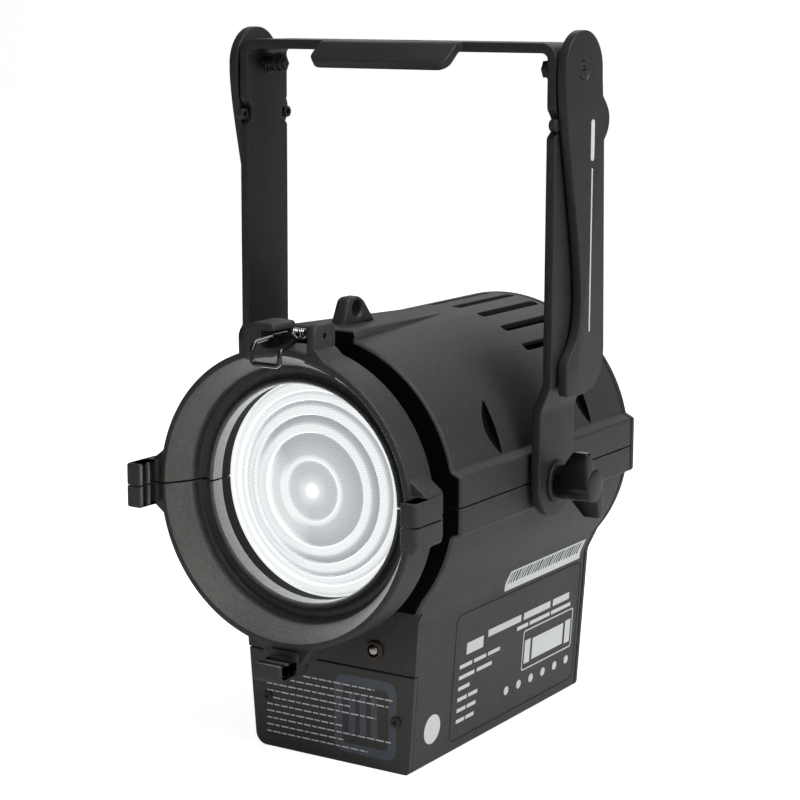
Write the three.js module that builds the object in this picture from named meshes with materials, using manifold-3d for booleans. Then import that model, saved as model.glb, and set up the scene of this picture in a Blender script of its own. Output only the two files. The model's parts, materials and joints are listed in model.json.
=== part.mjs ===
// Battery-powered LED fresnel spotlight on a flat-bar yoke with two swing-out stand legs.
// Millimetres, +Z up. The origin is the middle of the face the lamp stands on.
// The lens looks along -Y. Left (-X) and right (+X) are as seen from in front of the lamp.
// Almost every piece is drawn in the lamp's own coordinates: x across, y back from the front
// rim, z up from the optical axis. One group moves them all into place.

import * as THREE from 'three';
import { mergeVertices } from 'three/addons/utils/BufferGeometryUtils.js';
import Module from 'manifold-3d';

const wasm = await Module();
wasm.setup();

// ---------------------------------------------------------------- driving dimensions

const AXIS_HEIGHT = 118.5; // optical axis above the floor
const RIM_TO_ORIGIN = 105; // front rim in front of the origin
const GAP = 0.3; // clearance between neighbouring pieces
const WALL = 3; // casting thickness

// housing
const BODY_RADIUS = 65.3;
const BODY_FRONT = 28;
const BODY_REAR = 179;
const FLANGE_HALF = 67.9; // parting-line ledge, half width
const FLANGE_TOP = 12.5;
const FLANGE_BOTTOM = -11.5;
const BOX_FRONT = 32.6;
const BOX_TOP_HALF = 45.6; // box half width where it leaves the round body
const BOX_TOP_Z = -51.6;
const BOX_FOOT_HALF = 41;
const FLOOR_Z = -AXIS_HEIGHT;
const SHOULDER_ANGLE = -41; // where the round body turns into the box, degrees from +X

// front ring and lens
const RING_RADIUS = 62;
const RING_DEPTH = 18.5;
const NECK_RADIUS = 56;
const TUNNEL_RADIUS = 45.6;
const LENS_FRONT = 28.4; // front of the lens at its rim
const LENS_CROWN = 6; // the middle of the lens stands forward of its rim by this
const LENS_RADIUS = 47.2;
const LENS_POCKET_RADIUS = 48;
const CLIP_REACH = 71.3; // outside of the accessory clips from the axis
const CLIP_FRONT = -11;

// bail on the top of the ring
const BAIL_PIVOT_Y = 8;
const BAIL_PIVOT_Z = 67.5;
const BAIL_WIRE = 1;

// yoke, legs and knobs
const TRUNNION_Y = 96.5;
const TRUNNION_Z = -0.5;
const BAR = 4.1; // flat-bar thickness
const BAR_WIDTH = 30.2;
const ARM_OUTER = 78.8;
const JOGGLE = 4.7; // the arms step in by this beside the housing
const CROSSBAR_TOP = 182;
const PIVOT_Z = 171.2;
const LEG_INNER = 79.8;
const LEG_OUTER = 83.9;
const PIN_Z = 149.3;
const NOTCH_RADIUS = 3.6;
const PIN_RADIUS = 2.5;
const LEG_TRAVEL = 4; // pulling a leg out by this frees its pin from the bar

// focusing carriage and rear panel
const SCREW_Z = -30; // lead screw below the axis
const ROD_X = 24;
const PANEL_BACK = 182.5;

// ---------------------------------------------------------------- materials

function finish(color, roughness, metalness) {
  return new THREE.MeshStandardMaterial({ color, roughness, metalness });
}

const castBlack = finish(0x2a2a28, 0.62, 0.1);
const steelBlack = finish(0x262625, 0.55, 0.2);
const glossBlack = finish(0x0d0d0e, 0.18, 0.0);
const mattBlack = finish(0x1b1b1b, 0.7, 0.0);
const rubberBlack = finish(0x151515, 0.9, 0.0);
const springSteel = finish(0x55534f, 0.25, 0.9);
const zinc = finish(0xb8b5ad, 0.3, 0.9);
const aluminium = finish(0x9a9b9c, 0.4, 0.8);
const boardGreen = finish(0x1d4a2c, 0.5, 0.0);
const lensGlass = finish(0xf4f8fb, 0.1, 0.0);
const ledYellow = finish(0xf6e7a8, 0.4, 0.0);
const packBlue = finish(0x2b4a7a, 0.5, 0.0);
const displayDark = finish(0x10161c, 0.1, 0.0);

// ---------------------------------------------------------------- solids and booleans

const X = new THREE.Vector3(1, 0, 0);
const Y = new THREE.Vector3(0, 1, 0);
const Z = new THREE.Vector3(0, 0, 1);

function signedVolume(position, index) {
  const a = new THREE.Vector3();
  const b = new THREE.Vector3();
  const c = new THREE.Vector3();
  let volume = 0;
  for (let i = 0; i < index.length; i += 3) {
    a.fromArray(position, index[i] * 3);
    b.fromArray(position, index[i + 1] * 3);
    c.fromArray(position, index[i + 2] * 3);
    volume += a.dot(b.cross(c));
  }
  return volume;
}

// Turns a closed three.js geometry into a solid that can be cut and joined.
function solid(geometry) {
  const bare = geometry.clone();
  bare.deleteAttribute('normal');
  bare.deleteAttribute('uv');
  const merged = mergeVertices(bare, 1e-4);
  const vertProperties = new Float32Array(merged.attributes.position.array);
  const corners = [];
  const all = merged.index.array;
  for (let i = 0; i < all.length; i += 3) {
    const [p, q, r] = [all[i], all[i + 1], all[i + 2]];
    if (p !== q && q !== r && r !== p) corners.push(p, q, r);
  }
  if (signedVolume(vertProperties, corners) < 0) corners.reverse();
  const triVerts = new Uint32Array(corners);
  return new wasm.Manifold(new wasm.Mesh({ numProp: 3, vertProperties, triVerts }));
}

function join(...pieces) {
  return pieces.reduce((whole, piece) => whole.add(piece));
}

function cut(body, ...tools) {
  return tools.reduce((rest, tool) => rest.subtract(tool), body);
}

function toGeometry(manifold) {
  const { numProp, vertProperties, triVerts } = manifold.getMesh();
  const position = new Float32Array((vertProperties.length / numProp) * 3);
  for (let i = 0; i < position.length / 3; i += 1) {
    for (let axis = 0; axis < 3; axis += 1) position[i * 3 + axis] = vertProperties[i * numProp + axis];
  }
  const geometry = new THREE.BufferGeometry();
  geometry.setAttribute('position', new THREE.BufferAttribute(position, 3));
  geometry.setIndex(new THREE.BufferAttribute(new Uint32Array(triVerts), 1));
  geometry.computeVertexNormals();
  return geometry;
}

// ---------------------------------------------------------------- building blocks

function polygon(points) {
  return new THREE.Shape(points.map(([a, b]) => new THREE.Vector2(a, b)));
}

function extrude(shape, depth, curveSegments) {
  return new THREE.ExtrudeGeometry(shape, { depth, bevelEnabled: false, curveSegments });
}

// A (y, z) outline carried from x0 to x1.
function alongX(shape, x0, x1, curveSegments = 8) {
  const turned = new THREE.Matrix4().makeBasis(Y, Z, X).setPosition(x0, 0, 0);
  return solid(extrude(shape, x1 - x0, curveSegments).applyMatrix4(turned));
}

// An (x, z) outline carried from y0 to y1.
function alongY(shape, y0, y1, curveSegments = 8) {
  const turned = new THREE.Matrix4().makeBasis(X, Z, Y.clone().negate()).setPosition(0, y1, 0);
  return solid(extrude(shape, y1 - y0, curveSegments).applyMatrix4(turned));
}

// An (x, y) outline carried from z0 to z1.
function alongZ(shape, z0, z1, curveSegments = 8) {
  return solid(extrude(shape, z1 - z0, curveSegments).translate(0, 0, z0));
}

function block(x0, x1, y0, y1, z0, z1) {
  const box = new THREE.BoxGeometry(x1 - x0, y1 - y0, z1 - z0);
  return solid(box.translate((x0 + x1) / 2, (y0 + y1) / 2, (z0 + z1) / 2));
}

// A cylinder along the named axis, from s0 to s1, through (a, b) in the other two axes.
function rod(axis, radius, s0, s1, a = 0, b = 0, sides = 24) {
  const bar = new THREE.CylinderGeometry(radius, radius, s1 - s0, sides);
  const middle = (s0 + s1) / 2;
  if (axis === 'x') return solid(bar.rotateZ(Math.PI / 2).translate(middle, a, b));
  if (axis === 'y') return solid(bar.translate(a, middle, b));
  return solid(bar.rotateX(Math.PI / 2).translate(a, b, middle));
}

// A profile of [radius, distance along the axis] points, turned about y.
function turnY(profile, sides = 64, closed = true) {
  const points = profile.map(([r, y]) => new THREE.Vector2(r, y));
  if (closed) points.push(points[0].clone());
  return solid(new THREE.LatheGeometry(points, sides));
}

// The same about x, standing at (y, z).
function turnX(profile, y, z, sides = 20, closed = true) {
  const points = profile.map(([r, x]) => new THREE.Vector2(r, x));
  if (closed) points.push(points[0].clone());
  return solid(new THREE.LatheGeometry(points, sides).rotateZ(-Math.PI / 2).translate(0, y, z));
}

// A skin through matching rings of points, closed by a flat face at each end.
function loft(rings) {
  const count = rings[0].length;
  const position = rings.flat(2);
  const index = [];
  for (let ring = 0; ring + 1 < rings.length; ring += 1) {
    for (let i = 0; i < count; i += 1) {
      const a = ring * count + i;
      const b = ring * count + ((i + 1) % count);
      index.push(a, b, b + count, a, b + count, a + count);
    }
  }
  const last = (rings.length - 1) * count;
  for (let i = 1; i + 1 < count; i += 1) {
    index.push(0, i + 1, i);
    index.push(last, last + i, last + i + 1);
  }
  const geometry = new THREE.BufferGeometry();
  geometry.setAttribute('position', new THREE.Float32BufferAttribute(position, 3));
  geometry.setIndex(index);
  return solid(geometry);
}

function roundedRectangle(a0, a1, b0, b1, radius) {
  const shape = new THREE.Shape();
  shape.moveTo(a0 + radius, b0);
  shape.lineTo(a1 - radius, b0);
  shape.absarc(a1 - radius, b0 + radius, radius, -Math.PI / 2, 0, false);
  shape.lineTo(a1, b1 - radius);
  shape.absarc(a1 - radius, b1 - radius, radius, 0, Math.PI / 2, false);
  shape.lineTo(a0 + radius, b1);
  shape.absarc(a0 + radius, b1 - radius, radius, Math.PI / 2, Math.PI, false);
  shape.lineTo(a0, b0 + radius);
  shape.absarc(a0 + radius, b0 + radius, radius, Math.PI, Math.PI * 1.5, false);
  return shape;
}

class Helix extends THREE.Curve {
  constructor(radius, length, turns) {
    super();
    Object.assign(this, { radius, length, turns });
  }

  getPoint(t, target = new THREE.Vector3()) {
    const angle = t * this.turns * 2 * Math.PI;
    return target.set(t * this.length, this.radius * Math.cos(angle), this.radius * Math.sin(angle));
  }
}

// A coil spring along x from x0 to x1 around (y, z).
function coil(radius, wire, x0, x1, turns, y, z) {
  const section = new THREE.Shape();
  section.absarc(0, 0, wire, 0, 2 * Math.PI, false);
  const path = new Helix(radius, x1 - x0 - 2 * wire, turns);
  const options = { extrudePath: path, steps: turns * 9, bevelEnabled: false, curveSegments: 2 };
  return solid(new THREE.ExtrudeGeometry(section, options).translate(x0 + wire, y, z));
}

// Round wire through a list of points, with a ball at each bend.
function bentWire(points, radius) {
  const pieces = [];
  for (let i = 0; i + 1 < points.length; i += 1) {
    const from = new THREE.Vector3(...points[i]);
    const to = new THREE.Vector3(...points[i + 1]);
    const bar = new THREE.CylinderGeometry(radius, radius, from.distanceTo(to), 8);
    const direction = to.clone().sub(from).normalize();
    bar.applyQuaternion(new THREE.Quaternion().setFromUnitVectors(Y, direction));
    const middle = from.add(to).multiplyScalar(0.5);
    pieces.push(solid(bar.translate(middle.x, middle.y, middle.z)));
    if (i > 0) pieces.push(solid(new THREE.SphereGeometry(radius, 8, 5).translate(...points[i])));
  }
  return join(...pieces);
}

const lamp = new THREE.Group();
lamp.position.set(0, -RIM_TO_ORIGIN, AXIS_HEIGHT);

function add(name, body, material) {
  const mesh = new THREE.Mesh(toGeometry(body), material);
  mesh.name = name;
  lamp.add(mesh);
}

// ---------------------------------------------------------------- housing castings

const SIDES = [['left', -1], ['right', 1]];

// Outline of the round body above or below the seam; inset makes the hollow inside it.
function domeOutline(inset) {
  const radius = BODY_RADIUS - inset;
  const half = FLANGE_HALF - inset;
  const top = FLANGE_TOP - inset;
  const ledge = Math.asin((top + 2) / radius);
  const shape = new THREE.Shape();
  shape.moveTo(-half, GAP / 2);
  shape.lineTo(half, GAP / 2);
  shape.lineTo(half, top);
  shape.absarc(0, 0, radius, ledge, Math.PI - ledge, false);
  shape.lineTo(-half, top);
  return shape;
}

// Half outline of the lower casting, from the seam round the shoulder down to the foot.
function lowerOutline(inset, footZ) {
  const radius = BODY_RADIUS - inset;
  const half = FLANGE_HALF - inset;
  const ledge = Math.asin((FLANGE_BOTTOM + inset - 1.5) / radius);
  const shoulder = THREE.MathUtils.degToRad(SHOULDER_ANGLE);
  const shape = new THREE.Shape();
  shape.moveTo(-half, -GAP / 2);
  shape.lineTo(-half, FLANGE_BOTTOM + inset);
  shape.absarc(0, 0, radius, Math.PI - ledge, Math.PI - shoulder, false);
  shape.quadraticCurveTo(-BOX_TOP_HALF + inset, BOX_TOP_Z + 5, -BOX_TOP_HALF + inset, BOX_TOP_Z);
  shape.lineTo(-BOX_FOOT_HALF + inset, footZ);
  shape.lineTo(BOX_FOOT_HALF - inset, footZ);
  shape.lineTo(BOX_TOP_HALF - inset, BOX_TOP_Z);
  shape.quadraticCurveTo(
    BOX_TOP_HALF - inset,
    BOX_TOP_Z + 5,
    radius * Math.cos(shoulder),
    radius * Math.sin(shoulder),
  );
  shape.absarc(0, 0, radius, shoulder, ledge, false);
  shape.lineTo(half, FLANGE_BOTTOM + inset);
  shape.lineTo(half, -GAP / 2);
  return shape;
}

// Front ring, funnel, lip, lens tunnel and neck, as one turned body.
function frontRing() {
  const profile = [
    [RING_RADIUS, 0.7], [61.4, 0], [59.9, 0], [59.3, 0.9],
    [53.9, 10.4], [53.1, 15.2], [51.6, 17.2], [49.6, 17.2], [48.3, 16], [47.7, 14.6], [46.6, 14.2],
    [TUNNEL_RADIUS, 15.4],
    [TUNNEL_RADIUS, LENS_FRONT - 0.4], [LENS_POCKET_RADIUS, LENS_FRONT - 0.4],
    [LENS_POCKET_RADIUS, BODY_FRONT + WALL], [NECK_RADIUS, BODY_FRONT + WALL],
    [NECK_RADIUS, RING_DEPTH + 0.8], [60, RING_DEPTH + 0.8], [RING_RADIUS, RING_DEPTH - 0.8],
  ];
  return turnY(profile, 40);
}

// One accessory clip on the +X side: a block with two slots for gel frames.
function accessoryClip(halfHeight) {
  const lipInner = 63.9;
  const slotDepth = 68.3;
  const clip = polygon([
    [60.5, 10], [60.5, 1], [lipInner, 1], [lipInner, 0], [slotDepth, 0], [slotDepth, -3.4],
    [lipInner, -3.4], [lipInner, -5.8], [slotDepth, -5.8], [slotDepth, -8.3],
    [lipInner, -8.3], [lipInner, CLIP_FRONT], [CLIP_REACH - 1, CLIP_FRONT],
    [CLIP_REACH, CLIP_FRONT + 1], [CLIP_REACH, 8], [CLIP_REACH - 2, 10],
  ]);
  return alongZ(clip, -halfHeight, halfHeight);
}

function clipsAllRound() {
  const side = accessoryClip(9.3);
  const bottom = accessoryClip(6.8);
  return join(side, side.mirror([1, 0, 0]), bottom.rotate([0, 90, 0]));
}

// Clevis on the top of the ring that carries the bail: a block with a hood, and an ear.
function bailClevis() {
  const blockBody = block(-16.6, 0.8, 0, 16, 57, 72.4);
  const cavity = block(-6.7, 2, -1, 13, 62.6, 69.9);
  const armSlot = block(-6.7, -3.3, -1, 13, 62.6, 74);
  const ear = alongX(
    polygon([[0, 58], [16, 58], [16, 70], [13.5, 72.5], [2.5, 72.5], [0, 70]]),
    13.3,
    16.2,
  );
  const wireHole = rod('x', BAIL_WIRE + GAP, -10.4, 17, BAIL_PIVOT_Y, BAIL_PIVOT_Z, 12);
  return cut(join(blockBody, ear), cavity, armSlot, wireHole);
}

// Flat raised panel on the front of the dome; it sinks into the dome towards the back.
function raisedPanel() {
  const ring = (y, halfTop, halfFoot, top) => [
    [-halfFoot, y, 55], [halfFoot, y, 55], [halfFoot, y, top - 2.6], [halfTop, y, top],
    [-halfTop, y, top], [-halfFoot, y, top - 2.6],
  ];
  return loft([ring(BODY_FRONT, 16.2, 17.4, 67.3), ring(106, 10.5, 11.5, 64.9)]);
}

const VENT_STEP = 11.4; // degrees between cooling slots
const VENT_FRONT = 124.5;
const VENT_REAR = 175.5;
const VENT_HALF = 2.2;

function ventCutters() {
  const slot = alongZ(roundedRectangle(-VENT_HALF, VENT_HALF, VENT_FRONT, VENT_REAR, 1.8), 50, 75, 1);
  const cutters = [];
  for (let i = 0; i < 8; i += 1) cutters.push(slot.rotate([0, (i - 3.5) * VENT_STEP, 0]));
  return join(...cutters);
}

// Pointed scoops on the sides of the dome.
function gillCutters() {
  const cutters = [];
  for (const [, side] of SIDES) {
    for (const y of [64.3, 143.8]) {
      const scoop = new THREE.SphereGeometry(1, 10, 6).scale(12, 4.4, 3.2);
      scoop.translate(0, y, BODY_RADIUS).rotateY(side * THREE.MathUtils.degToRad(66.5));
      cutters.push(solid(scoop));
    }
  }
  return join(...cutters);
}

const BUSH_RADIUS = 8;

function bushHoles() {
  return rod('x', BUSH_RADIUS + GAP, -75, 75, TRUNNION_Y, TRUNNION_Z, 16);
}

const aboveSeam = block(-90, 90, -30, 200, GAP / 2, 90);
const belowSeam = block(-90, 90, -30, 200, -130, -GAP / 2);
const lensBore = rod('y', LENS_POCKET_RADIUS, BODY_FRONT - 1, BOX_FRONT + WALL + 1, 0, 0, 40);

function upperShell() {
  const outside = join(alongY(domeOutline(0), BODY_FRONT, BODY_REAR, 10), raisedPanel());
  const inside = alongY(domeOutline(WALL), BODY_FRONT + WALL, BODY_REAR + 1, 8);
  const seamOpening = block(-FLANGE_HALF + WALL, FLANGE_HALF - WALL, BODY_FRONT + WALL, 200, -1, 1);
  const hollow = cut(outside, inside, seamOpening, lensBore);
  const front = join(frontRing(), clipsAllRound(), bailClevis()).intersect(aboveSeam);
  return cut(join(hollow, front), ventCutters(), gillCutters(), bushHoles());
}

const COVER_TOP_Z = -75.6;
const COVER_FOOT_Z = -116.5;
const INDICATOR_X = 24.3;
const INDICATOR_Z = -66.6;

function coverOutline(margin) {
  return polygon([
    [-36.5 - margin, COVER_FOOT_Z - margin], [36.5 + margin, COVER_FOOT_Z - margin],
    [38.5 + margin, COVER_TOP_Z + margin], [-38.5 - margin, COVER_TOP_Z + margin],
  ]);
}

function lowerShell() {
  const deep = lowerOutline(0, FLOOR_Z);
  const roundPart = alongY(deep, BODY_FRONT, BODY_REAR, 4);
  const faceCut = block(-90, 90, BODY_FRONT - 1, BOX_FRONT, -130, -47);
  const outside = cut(roundPart, faceCut);
  const inside = alongY(lowerOutline(WALL, FLOOR_Z + WALL), BOX_FRONT + WALL, BODY_REAR + 1, 4);
  const openTop = block(-FLANGE_HALF + WALL, FLANGE_HALF - WALL, BOX_FRONT + WALL, 200, -1, 1);
  const coverPocket = alongY(coverOutline(GAP), BOX_FRONT - 1, BOX_FRONT + 2.4);
  const batteryDoor = block(-33, 33, BOX_FRONT - 1, BOX_FRONT + WALL + 1, -112, -80);
  const indicatorHole = rod('y', 3.4, BOX_FRONT - 1, BOX_FRONT + WALL + 1, INDICATOR_X, INDICATOR_Z);
  const hollow = cut(outside, inside, openTop, lensBore, coverPocket, batteryDoor, indicatorHole);
  const front = join(frontRing(), clipsAllRound()).intersect(belowSeam);
  return cut(join(hollow, front), bushHoles(), coverScrewHoles());
}

const COVER_SCREWS = [['left', -34.7], ['right', 34.7]];
const COVER_SCREW_Z = -96;

function coverScrewHoles() {
  const holes = COVER_SCREWS.map(([, x]) => rod('y', 1.8, BOX_FRONT - 1, 36, x, COVER_SCREW_Z, 12));
  return join(...holes);
}

add('upper_shell', upperShell(), castBlack);
add('lower_shell', lowerShell(), castBlack);

// ---------------------------------------------------------------- housing fittings

function safetyEyelet() {
  const side = polygon([[39, 67.3], [43, 76], [45, 77.6], [51.6, 77.3], [54, 75.4], [63, 67.3]]);
  const eye = rod('x', 3.5, -9, 9, 49.6, 72.6, 16);
  return cut(alongX(side, -3, 3), eye);
}

function batteryCover() {
  const plate = alongY(coverOutline(0), BOX_FRONT, BOX_FRONT + 2);
  return cut(plate, coverScrewHoles());
}

function coverScrew(x) {
  const head = turnY([[0, 31.3], [2.2, 31.6], [2.9, 32.3], [0, 32.3]], 12, false);
  const shank = rod('y', 1.4, 32.2, 37.5, 0, 0, 8);
  return join(head, shank).translate([x, 0, COVER_SCREW_Z]);
}

function indicatorBezel() {
  const ring = [[2.8, 31.2], [4, 31.2], [4.6, 31.8], [4.6, 32.3], [3.1, 32.3], [3.1, 38], [2.8, 38]];
  return turnY(ring, 14).translate([INDICATOR_X, 0, INDICATOR_Z]);
}

function indicatorLens() {
  const dome = [[0, 30.4], [1.5, 30.8], [2.4, 32], [2.5, 33], [2.5, 37], [0, 37]];
  return turnY(dome, 12, false).translate([INDICATOR_X, 0, INDICATOR_Z]);
}

const BUSH_FACE = 69.6;
const STUD_RADIUS = 3.9;

function trunnionBush() {
  const profile = [
    [STUD_RADIUS + GAP, 56], [BUSH_RADIUS, 56], [BUSH_RADIUS, FLANGE_HALF + GAP],
    [11, FLANGE_HALF + GAP], [11, BUSH_FACE - 0.4], [10.6, BUSH_FACE], [STUD_RADIUS + GAP, BUSH_FACE],
  ];
  return turnX(profile, TRUNNION_Y, TRUNNION_Z);
}

// Pieces that come in pairs are drawn on the +X side and mirrored for the other.
function onSide(body, side) {
  return side < 0 ? body.mirror([1, 0, 0]) : body;
}

add('safety_eyelet', safetyEyelet(), mattBlack);
add('battery_cover', batteryCover(), steelBlack);
for (const [name, x] of COVER_SCREWS) add(`cover_screw_${name}`, coverScrew(x), steelBlack);
add('indicator_bezel', indicatorBezel(), mattBlack);
add('indicator_lens', indicatorLens(), zinc);
for (const [name, side] of SIDES) add(`trunnion_bush_${name}`, onSide(trunnionBush(), side), zinc);

// ---------------------------------------------------------------- lens and its seat

const LENS_BACK = LENS_FRONT + 2.4;
const FACET_EDGES = [12.7, 24, 31.3, 37.2, 41, 45.3]; // outer radius of each stepped ring
const FACET_DROP = 1.9;

function lensFace(radius) {
  return LENS_FRONT - LENS_CROWN * (1 - (radius / LENS_RADIUS) ** 2);
}

// Domed lens collapsed into rings: each facet falls back, then steps forward again.
function fresnelLens() {
  const crown = [0, 0.5, 1].map((t) => [t * FACET_EDGES[0], lensFace(0) + FACET_DROP * t * t]);
  const facets = FACET_EDGES.slice(1).flatMap((edge, i) => [
    [FACET_EDGES[i] + 0.4, lensFace(FACET_EDGES[i])],
    [edge, lensFace(edge) + FACET_DROP * 0.6],
  ]);
  const rim = [[45.9, LENS_FRONT], [LENS_RADIUS, LENS_FRONT], [LENS_RADIUS, LENS_BACK], [0, LENS_BACK]];
  return turnY([...crown, ...facets, ...rim], 30, false);
}

function tube(inner, outer, y0, y1, sides = 30) {
  return turnY([[inner, y0], [outer, y0], [outer, y1], [inner, y1]], sides);
}

add('fresnel_lens', fresnelLens(), lensGlass);
add('lens_gasket', tube(44.6, LENS_RADIUS, LENS_BACK + GAP, LENS_BACK + 1.8), rubberBlack);
add('lens_retainer', tube(44.6, LENS_RADIUS, LENS_BACK + 2.1, LENS_BACK + 5), steelBlack);

// ---------------------------------------------------------------- focusing carriage

const SINK_FRONT = 84;
const SINK_BACK = 108;
const ROD_RADIUS = 3;
const SCREW_RADIUS = 3.5;

function heatSink() {
  const plate = block(-30, 30, SINK_FRONT, SINK_FRONT + 5, -38, 30);
  const fins = [];
  for (let i = -4; i <= 4; i += 1) {
    const x = i * 7;
    fins.push(block(x - 0.9, x + 0.9, SINK_FRONT + 4, SINK_BACK, -22, 30));
  }
  const rodHoles = SIDES.map(([, side]) => rod('y', ROD_RADIUS + GAP, 80, 112, side * ROD_X, SCREW_Z, 16));
  const nut = rod('y', SCREW_RADIUS + GAP, 80, 112, 0, SCREW_Z, 16);
  return cut(join(plate, ...fins), ...rodHoles, nut);
}

function reflectorCup() {
  const cup = [
    [8, 80.2], [9.2, 80.2], [13, 76], [17, 70], [20, 62.5], [22, 62.5], [22, 61.5], [19.2, 61.5],
    [15.8, 70], [11.8, 76],
  ];
  return turnY(cup, 16);
}

function ledEmitter() {
  return join(block(-9, 9, 81.2, 82.4, -9, 9), rod('y', 6.5, 80.7, 81.3, 0, 0, 24));
}

add('heat_sink', heatSink(), aluminium);
add('led_board', block(-22, 22, 82.7, SINK_FRONT - GAP, -20, 20), boardGreen);
add('led_emitter', ledEmitter(), ledYellow);
add('reflector_cup', reflectorCup(), aluminium);
for (const [name, side] of SIDES) {
  add(`guide_rod_${name}`, rod('y', ROD_RADIUS, 56, BODY_REAR, side * ROD_X, SCREW_Z, 16), zinc);
}
add('lead_screw', rod('y', SCREW_RADIUS, 60, PANEL_BACK + 4, 0, SCREW_Z, 16), zinc);

// Knob for the zoom, with grip flutes round it.
function zoomKnob() {
  const shape = new THREE.Shape();
  const flutes = 12;
  for (let i = 0; i < flutes * 2; i += 1) {
    const angle = (i * Math.PI) / flutes;
    const radius = i % 2 === 0 ? 11.5 : 10.6;
    const point = [radius * Math.cos(angle), radius * Math.sin(angle)];
    if (i === 0) shape.moveTo(...point);
    else shape.lineTo(...point);
  }
  const grip = alongY(shape, PANEL_BACK + 1, PANEL_BACK + 12);
  const cap = turnY([[0, PANEL_BACK + 11], [10, PANEL_BACK + 11], [9, PANEL_BACK + 14], [0, PANEL_BACK + 14]],
    24, false);
  const bore = rod('y', SCREW_RADIUS + GAP, PANEL_BACK, PANEL_BACK + 4 + GAP, 0, 0, 16);
  return cut(join(grip, cap), bore).translate([0, 0, SCREW_Z]);
}

add('zoom_knob', zoomKnob(), mattBlack);

// ---------------------------------------------------------------- power and control

const SOCKET_X = 19;
const SOCKET_Z = -66;
const SOCKET_RADIUS = 11;
const INLET = { x0: -33, x1: -5, z0: -109, z1: -88 };
const SWITCH = { x0: 12, x1: 26, z0: -109, z1: -88 };
const SWITCH_DEPTH = 8;
const DISPLAY = { x0: -22, x1: 22, z0: 26, z1: 44 };
const BUTTON_Z = 12;
const BUTTON_STEP = 12;
const BUTTON_RADIUS = 3.4;
const PANEL_FRONT = BODY_REAR + GAP;

function aperture({ x0, x1, z0, z1 }, margin) {
  return block(x0 - margin, x1 + margin, PANEL_FRONT - 1, PANEL_BACK + 1, z0 - margin, z1 + margin);
}

function buttonX(i) {
  return (i - 1.5) * BUTTON_STEP;
}

const PANEL_SCREWS = [[-50, 20], [50, 20], [-38, -78], [38, -78]];

function rearPanel() {
  const upper = domeOutline(0);
  const lower = lowerOutline(0, FLOOR_Z);
  const plate = join(
    alongY(upper, PANEL_FRONT, PANEL_BACK, 10),
    alongY(lower, PANEL_FRONT, PANEL_BACK, 4),
    block(-FLANGE_HALF, FLANGE_HALF, PANEL_FRONT, PANEL_BACK, -1, 1),
  );
  const holes = [aperture(DISPLAY, GAP), aperture(INLET, GAP), aperture(SWITCH, GAP)];
  const drill = (radius, x, z, sides) => rod('y', radius, PANEL_FRONT - 1, PANEL_BACK + 1, x, z, sides);
  for (let i = 0; i < 4; i += 1) holes.push(drill(BUTTON_RADIUS + GAP, buttonX(i), BUTTON_Z, 16));
  for (const [, side] of SIDES) holes.push(drill(SOCKET_RADIUS + GAP, side * SOCKET_X, SOCKET_Z, 18));
  for (const [x, z] of PANEL_SCREWS) holes.push(drill(1.9, x, z, 12));
  holes.push(drill(SCREW_RADIUS + GAP, 0, SCREW_Z, 16));
  return cut(plate, ...holes);
}

function panelScrew([x, z]) {
  const head = turnY([[0, PANEL_BACK + GAP], [3.2, PANEL_BACK + GAP], [2.6, PANEL_BACK + 1.8],
    [0, PANEL_BACK + 2.1]], 12, false);
  return join(head, rod('y', 1.5, PANEL_FRONT - 1.5, PANEL_BACK + 0.5, 0, 0, 8)).translate([x, 0, z]);
}

function powerInlet() {
  const { x0, x1, z0, z1 } = INLET;
  const body = block(x0, x1, 158, PANEL_BACK + 0.2, z0, z1);
  const flange = block(x0 - 2, x1 + 2, PANEL_BACK + GAP - 0.1, PANEL_BACK + 1.5, z0 - 2, z1 + 2);
  const mouth = block(x0 + 2.5, x1 - 2.5, 166, PANEL_BACK + 3, z0 + 3, z1 - 3);
  const socket = cut(join(body, flange), mouth);
  const pins = [-7, 0, 7].map((dx, i) => block(
    (x0 + x1) / 2 + dx - 1, (x0 + x1) / 2 + dx + 1, 165, 180,
    (z0 + z1) / 2 - 2 + (i === 1 ? 2.5 : 0), (z0 + z1) / 2 + 2 + (i === 1 ? 2.5 : 0),
  ));
  return join(socket, ...pins);
}

// Three-pole data socket; the output has pins in it, the input has three holes.
function dataSocket(x, hasPins) {
  const body = rod('y', SOCKET_RADIUS, 162, PANEL_BACK + 0.2, 0, 0, 18);
  const flange = rod('y', SOCKET_RADIUS + 2.2, PANEL_BACK + GAP - 0.1, PANEL_BACK + 2, 0, 0, 18);
  const shell = join(body, flange);
  const poles = [90, 210, 330].map((angle) => {
    const turn = THREE.MathUtils.degToRad(angle);
    const place = [4 * Math.cos(turn), 4 * Math.sin(turn)];
    return rod('y', 1.2, hasPins ? 166 : 170, PANEL_BACK + (hasPins ? -1 : 3), ...place, 8);
  });
  if (!hasPins) return cut(shell, ...poles).translate([x, 0, SOCKET_Z]);
  const mouth = rod('y', 8.5, 167, PANEL_BACK + 3, 0, 0, 16);
  return join(cut(shell, mouth), ...poles).translate([x, 0, SOCKET_Z]);
}

function switchFrame() {
  const { x0, x1, z0, z1 } = SWITCH;
  const body = block(x0, x1, 164, PANEL_BACK + 0.2, z0, z1);
  const flange = block(x0 - 1.5, x1 + 1.5, PANEL_BACK + GAP - 0.1, PANEL_BACK + 1.2, z0 - 1.5, z1 + 1.5);
  const well = block(x0 + 1.5, x1 - 1.5, PANEL_BACK - SWITCH_DEPTH, PANEL_BACK + 3, z0 + 1.5, z1 - 1.5);
  return cut(join(body, flange), well);
}

const ROCKER_PIVOT_Y = PANEL_BACK - 3;

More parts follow.
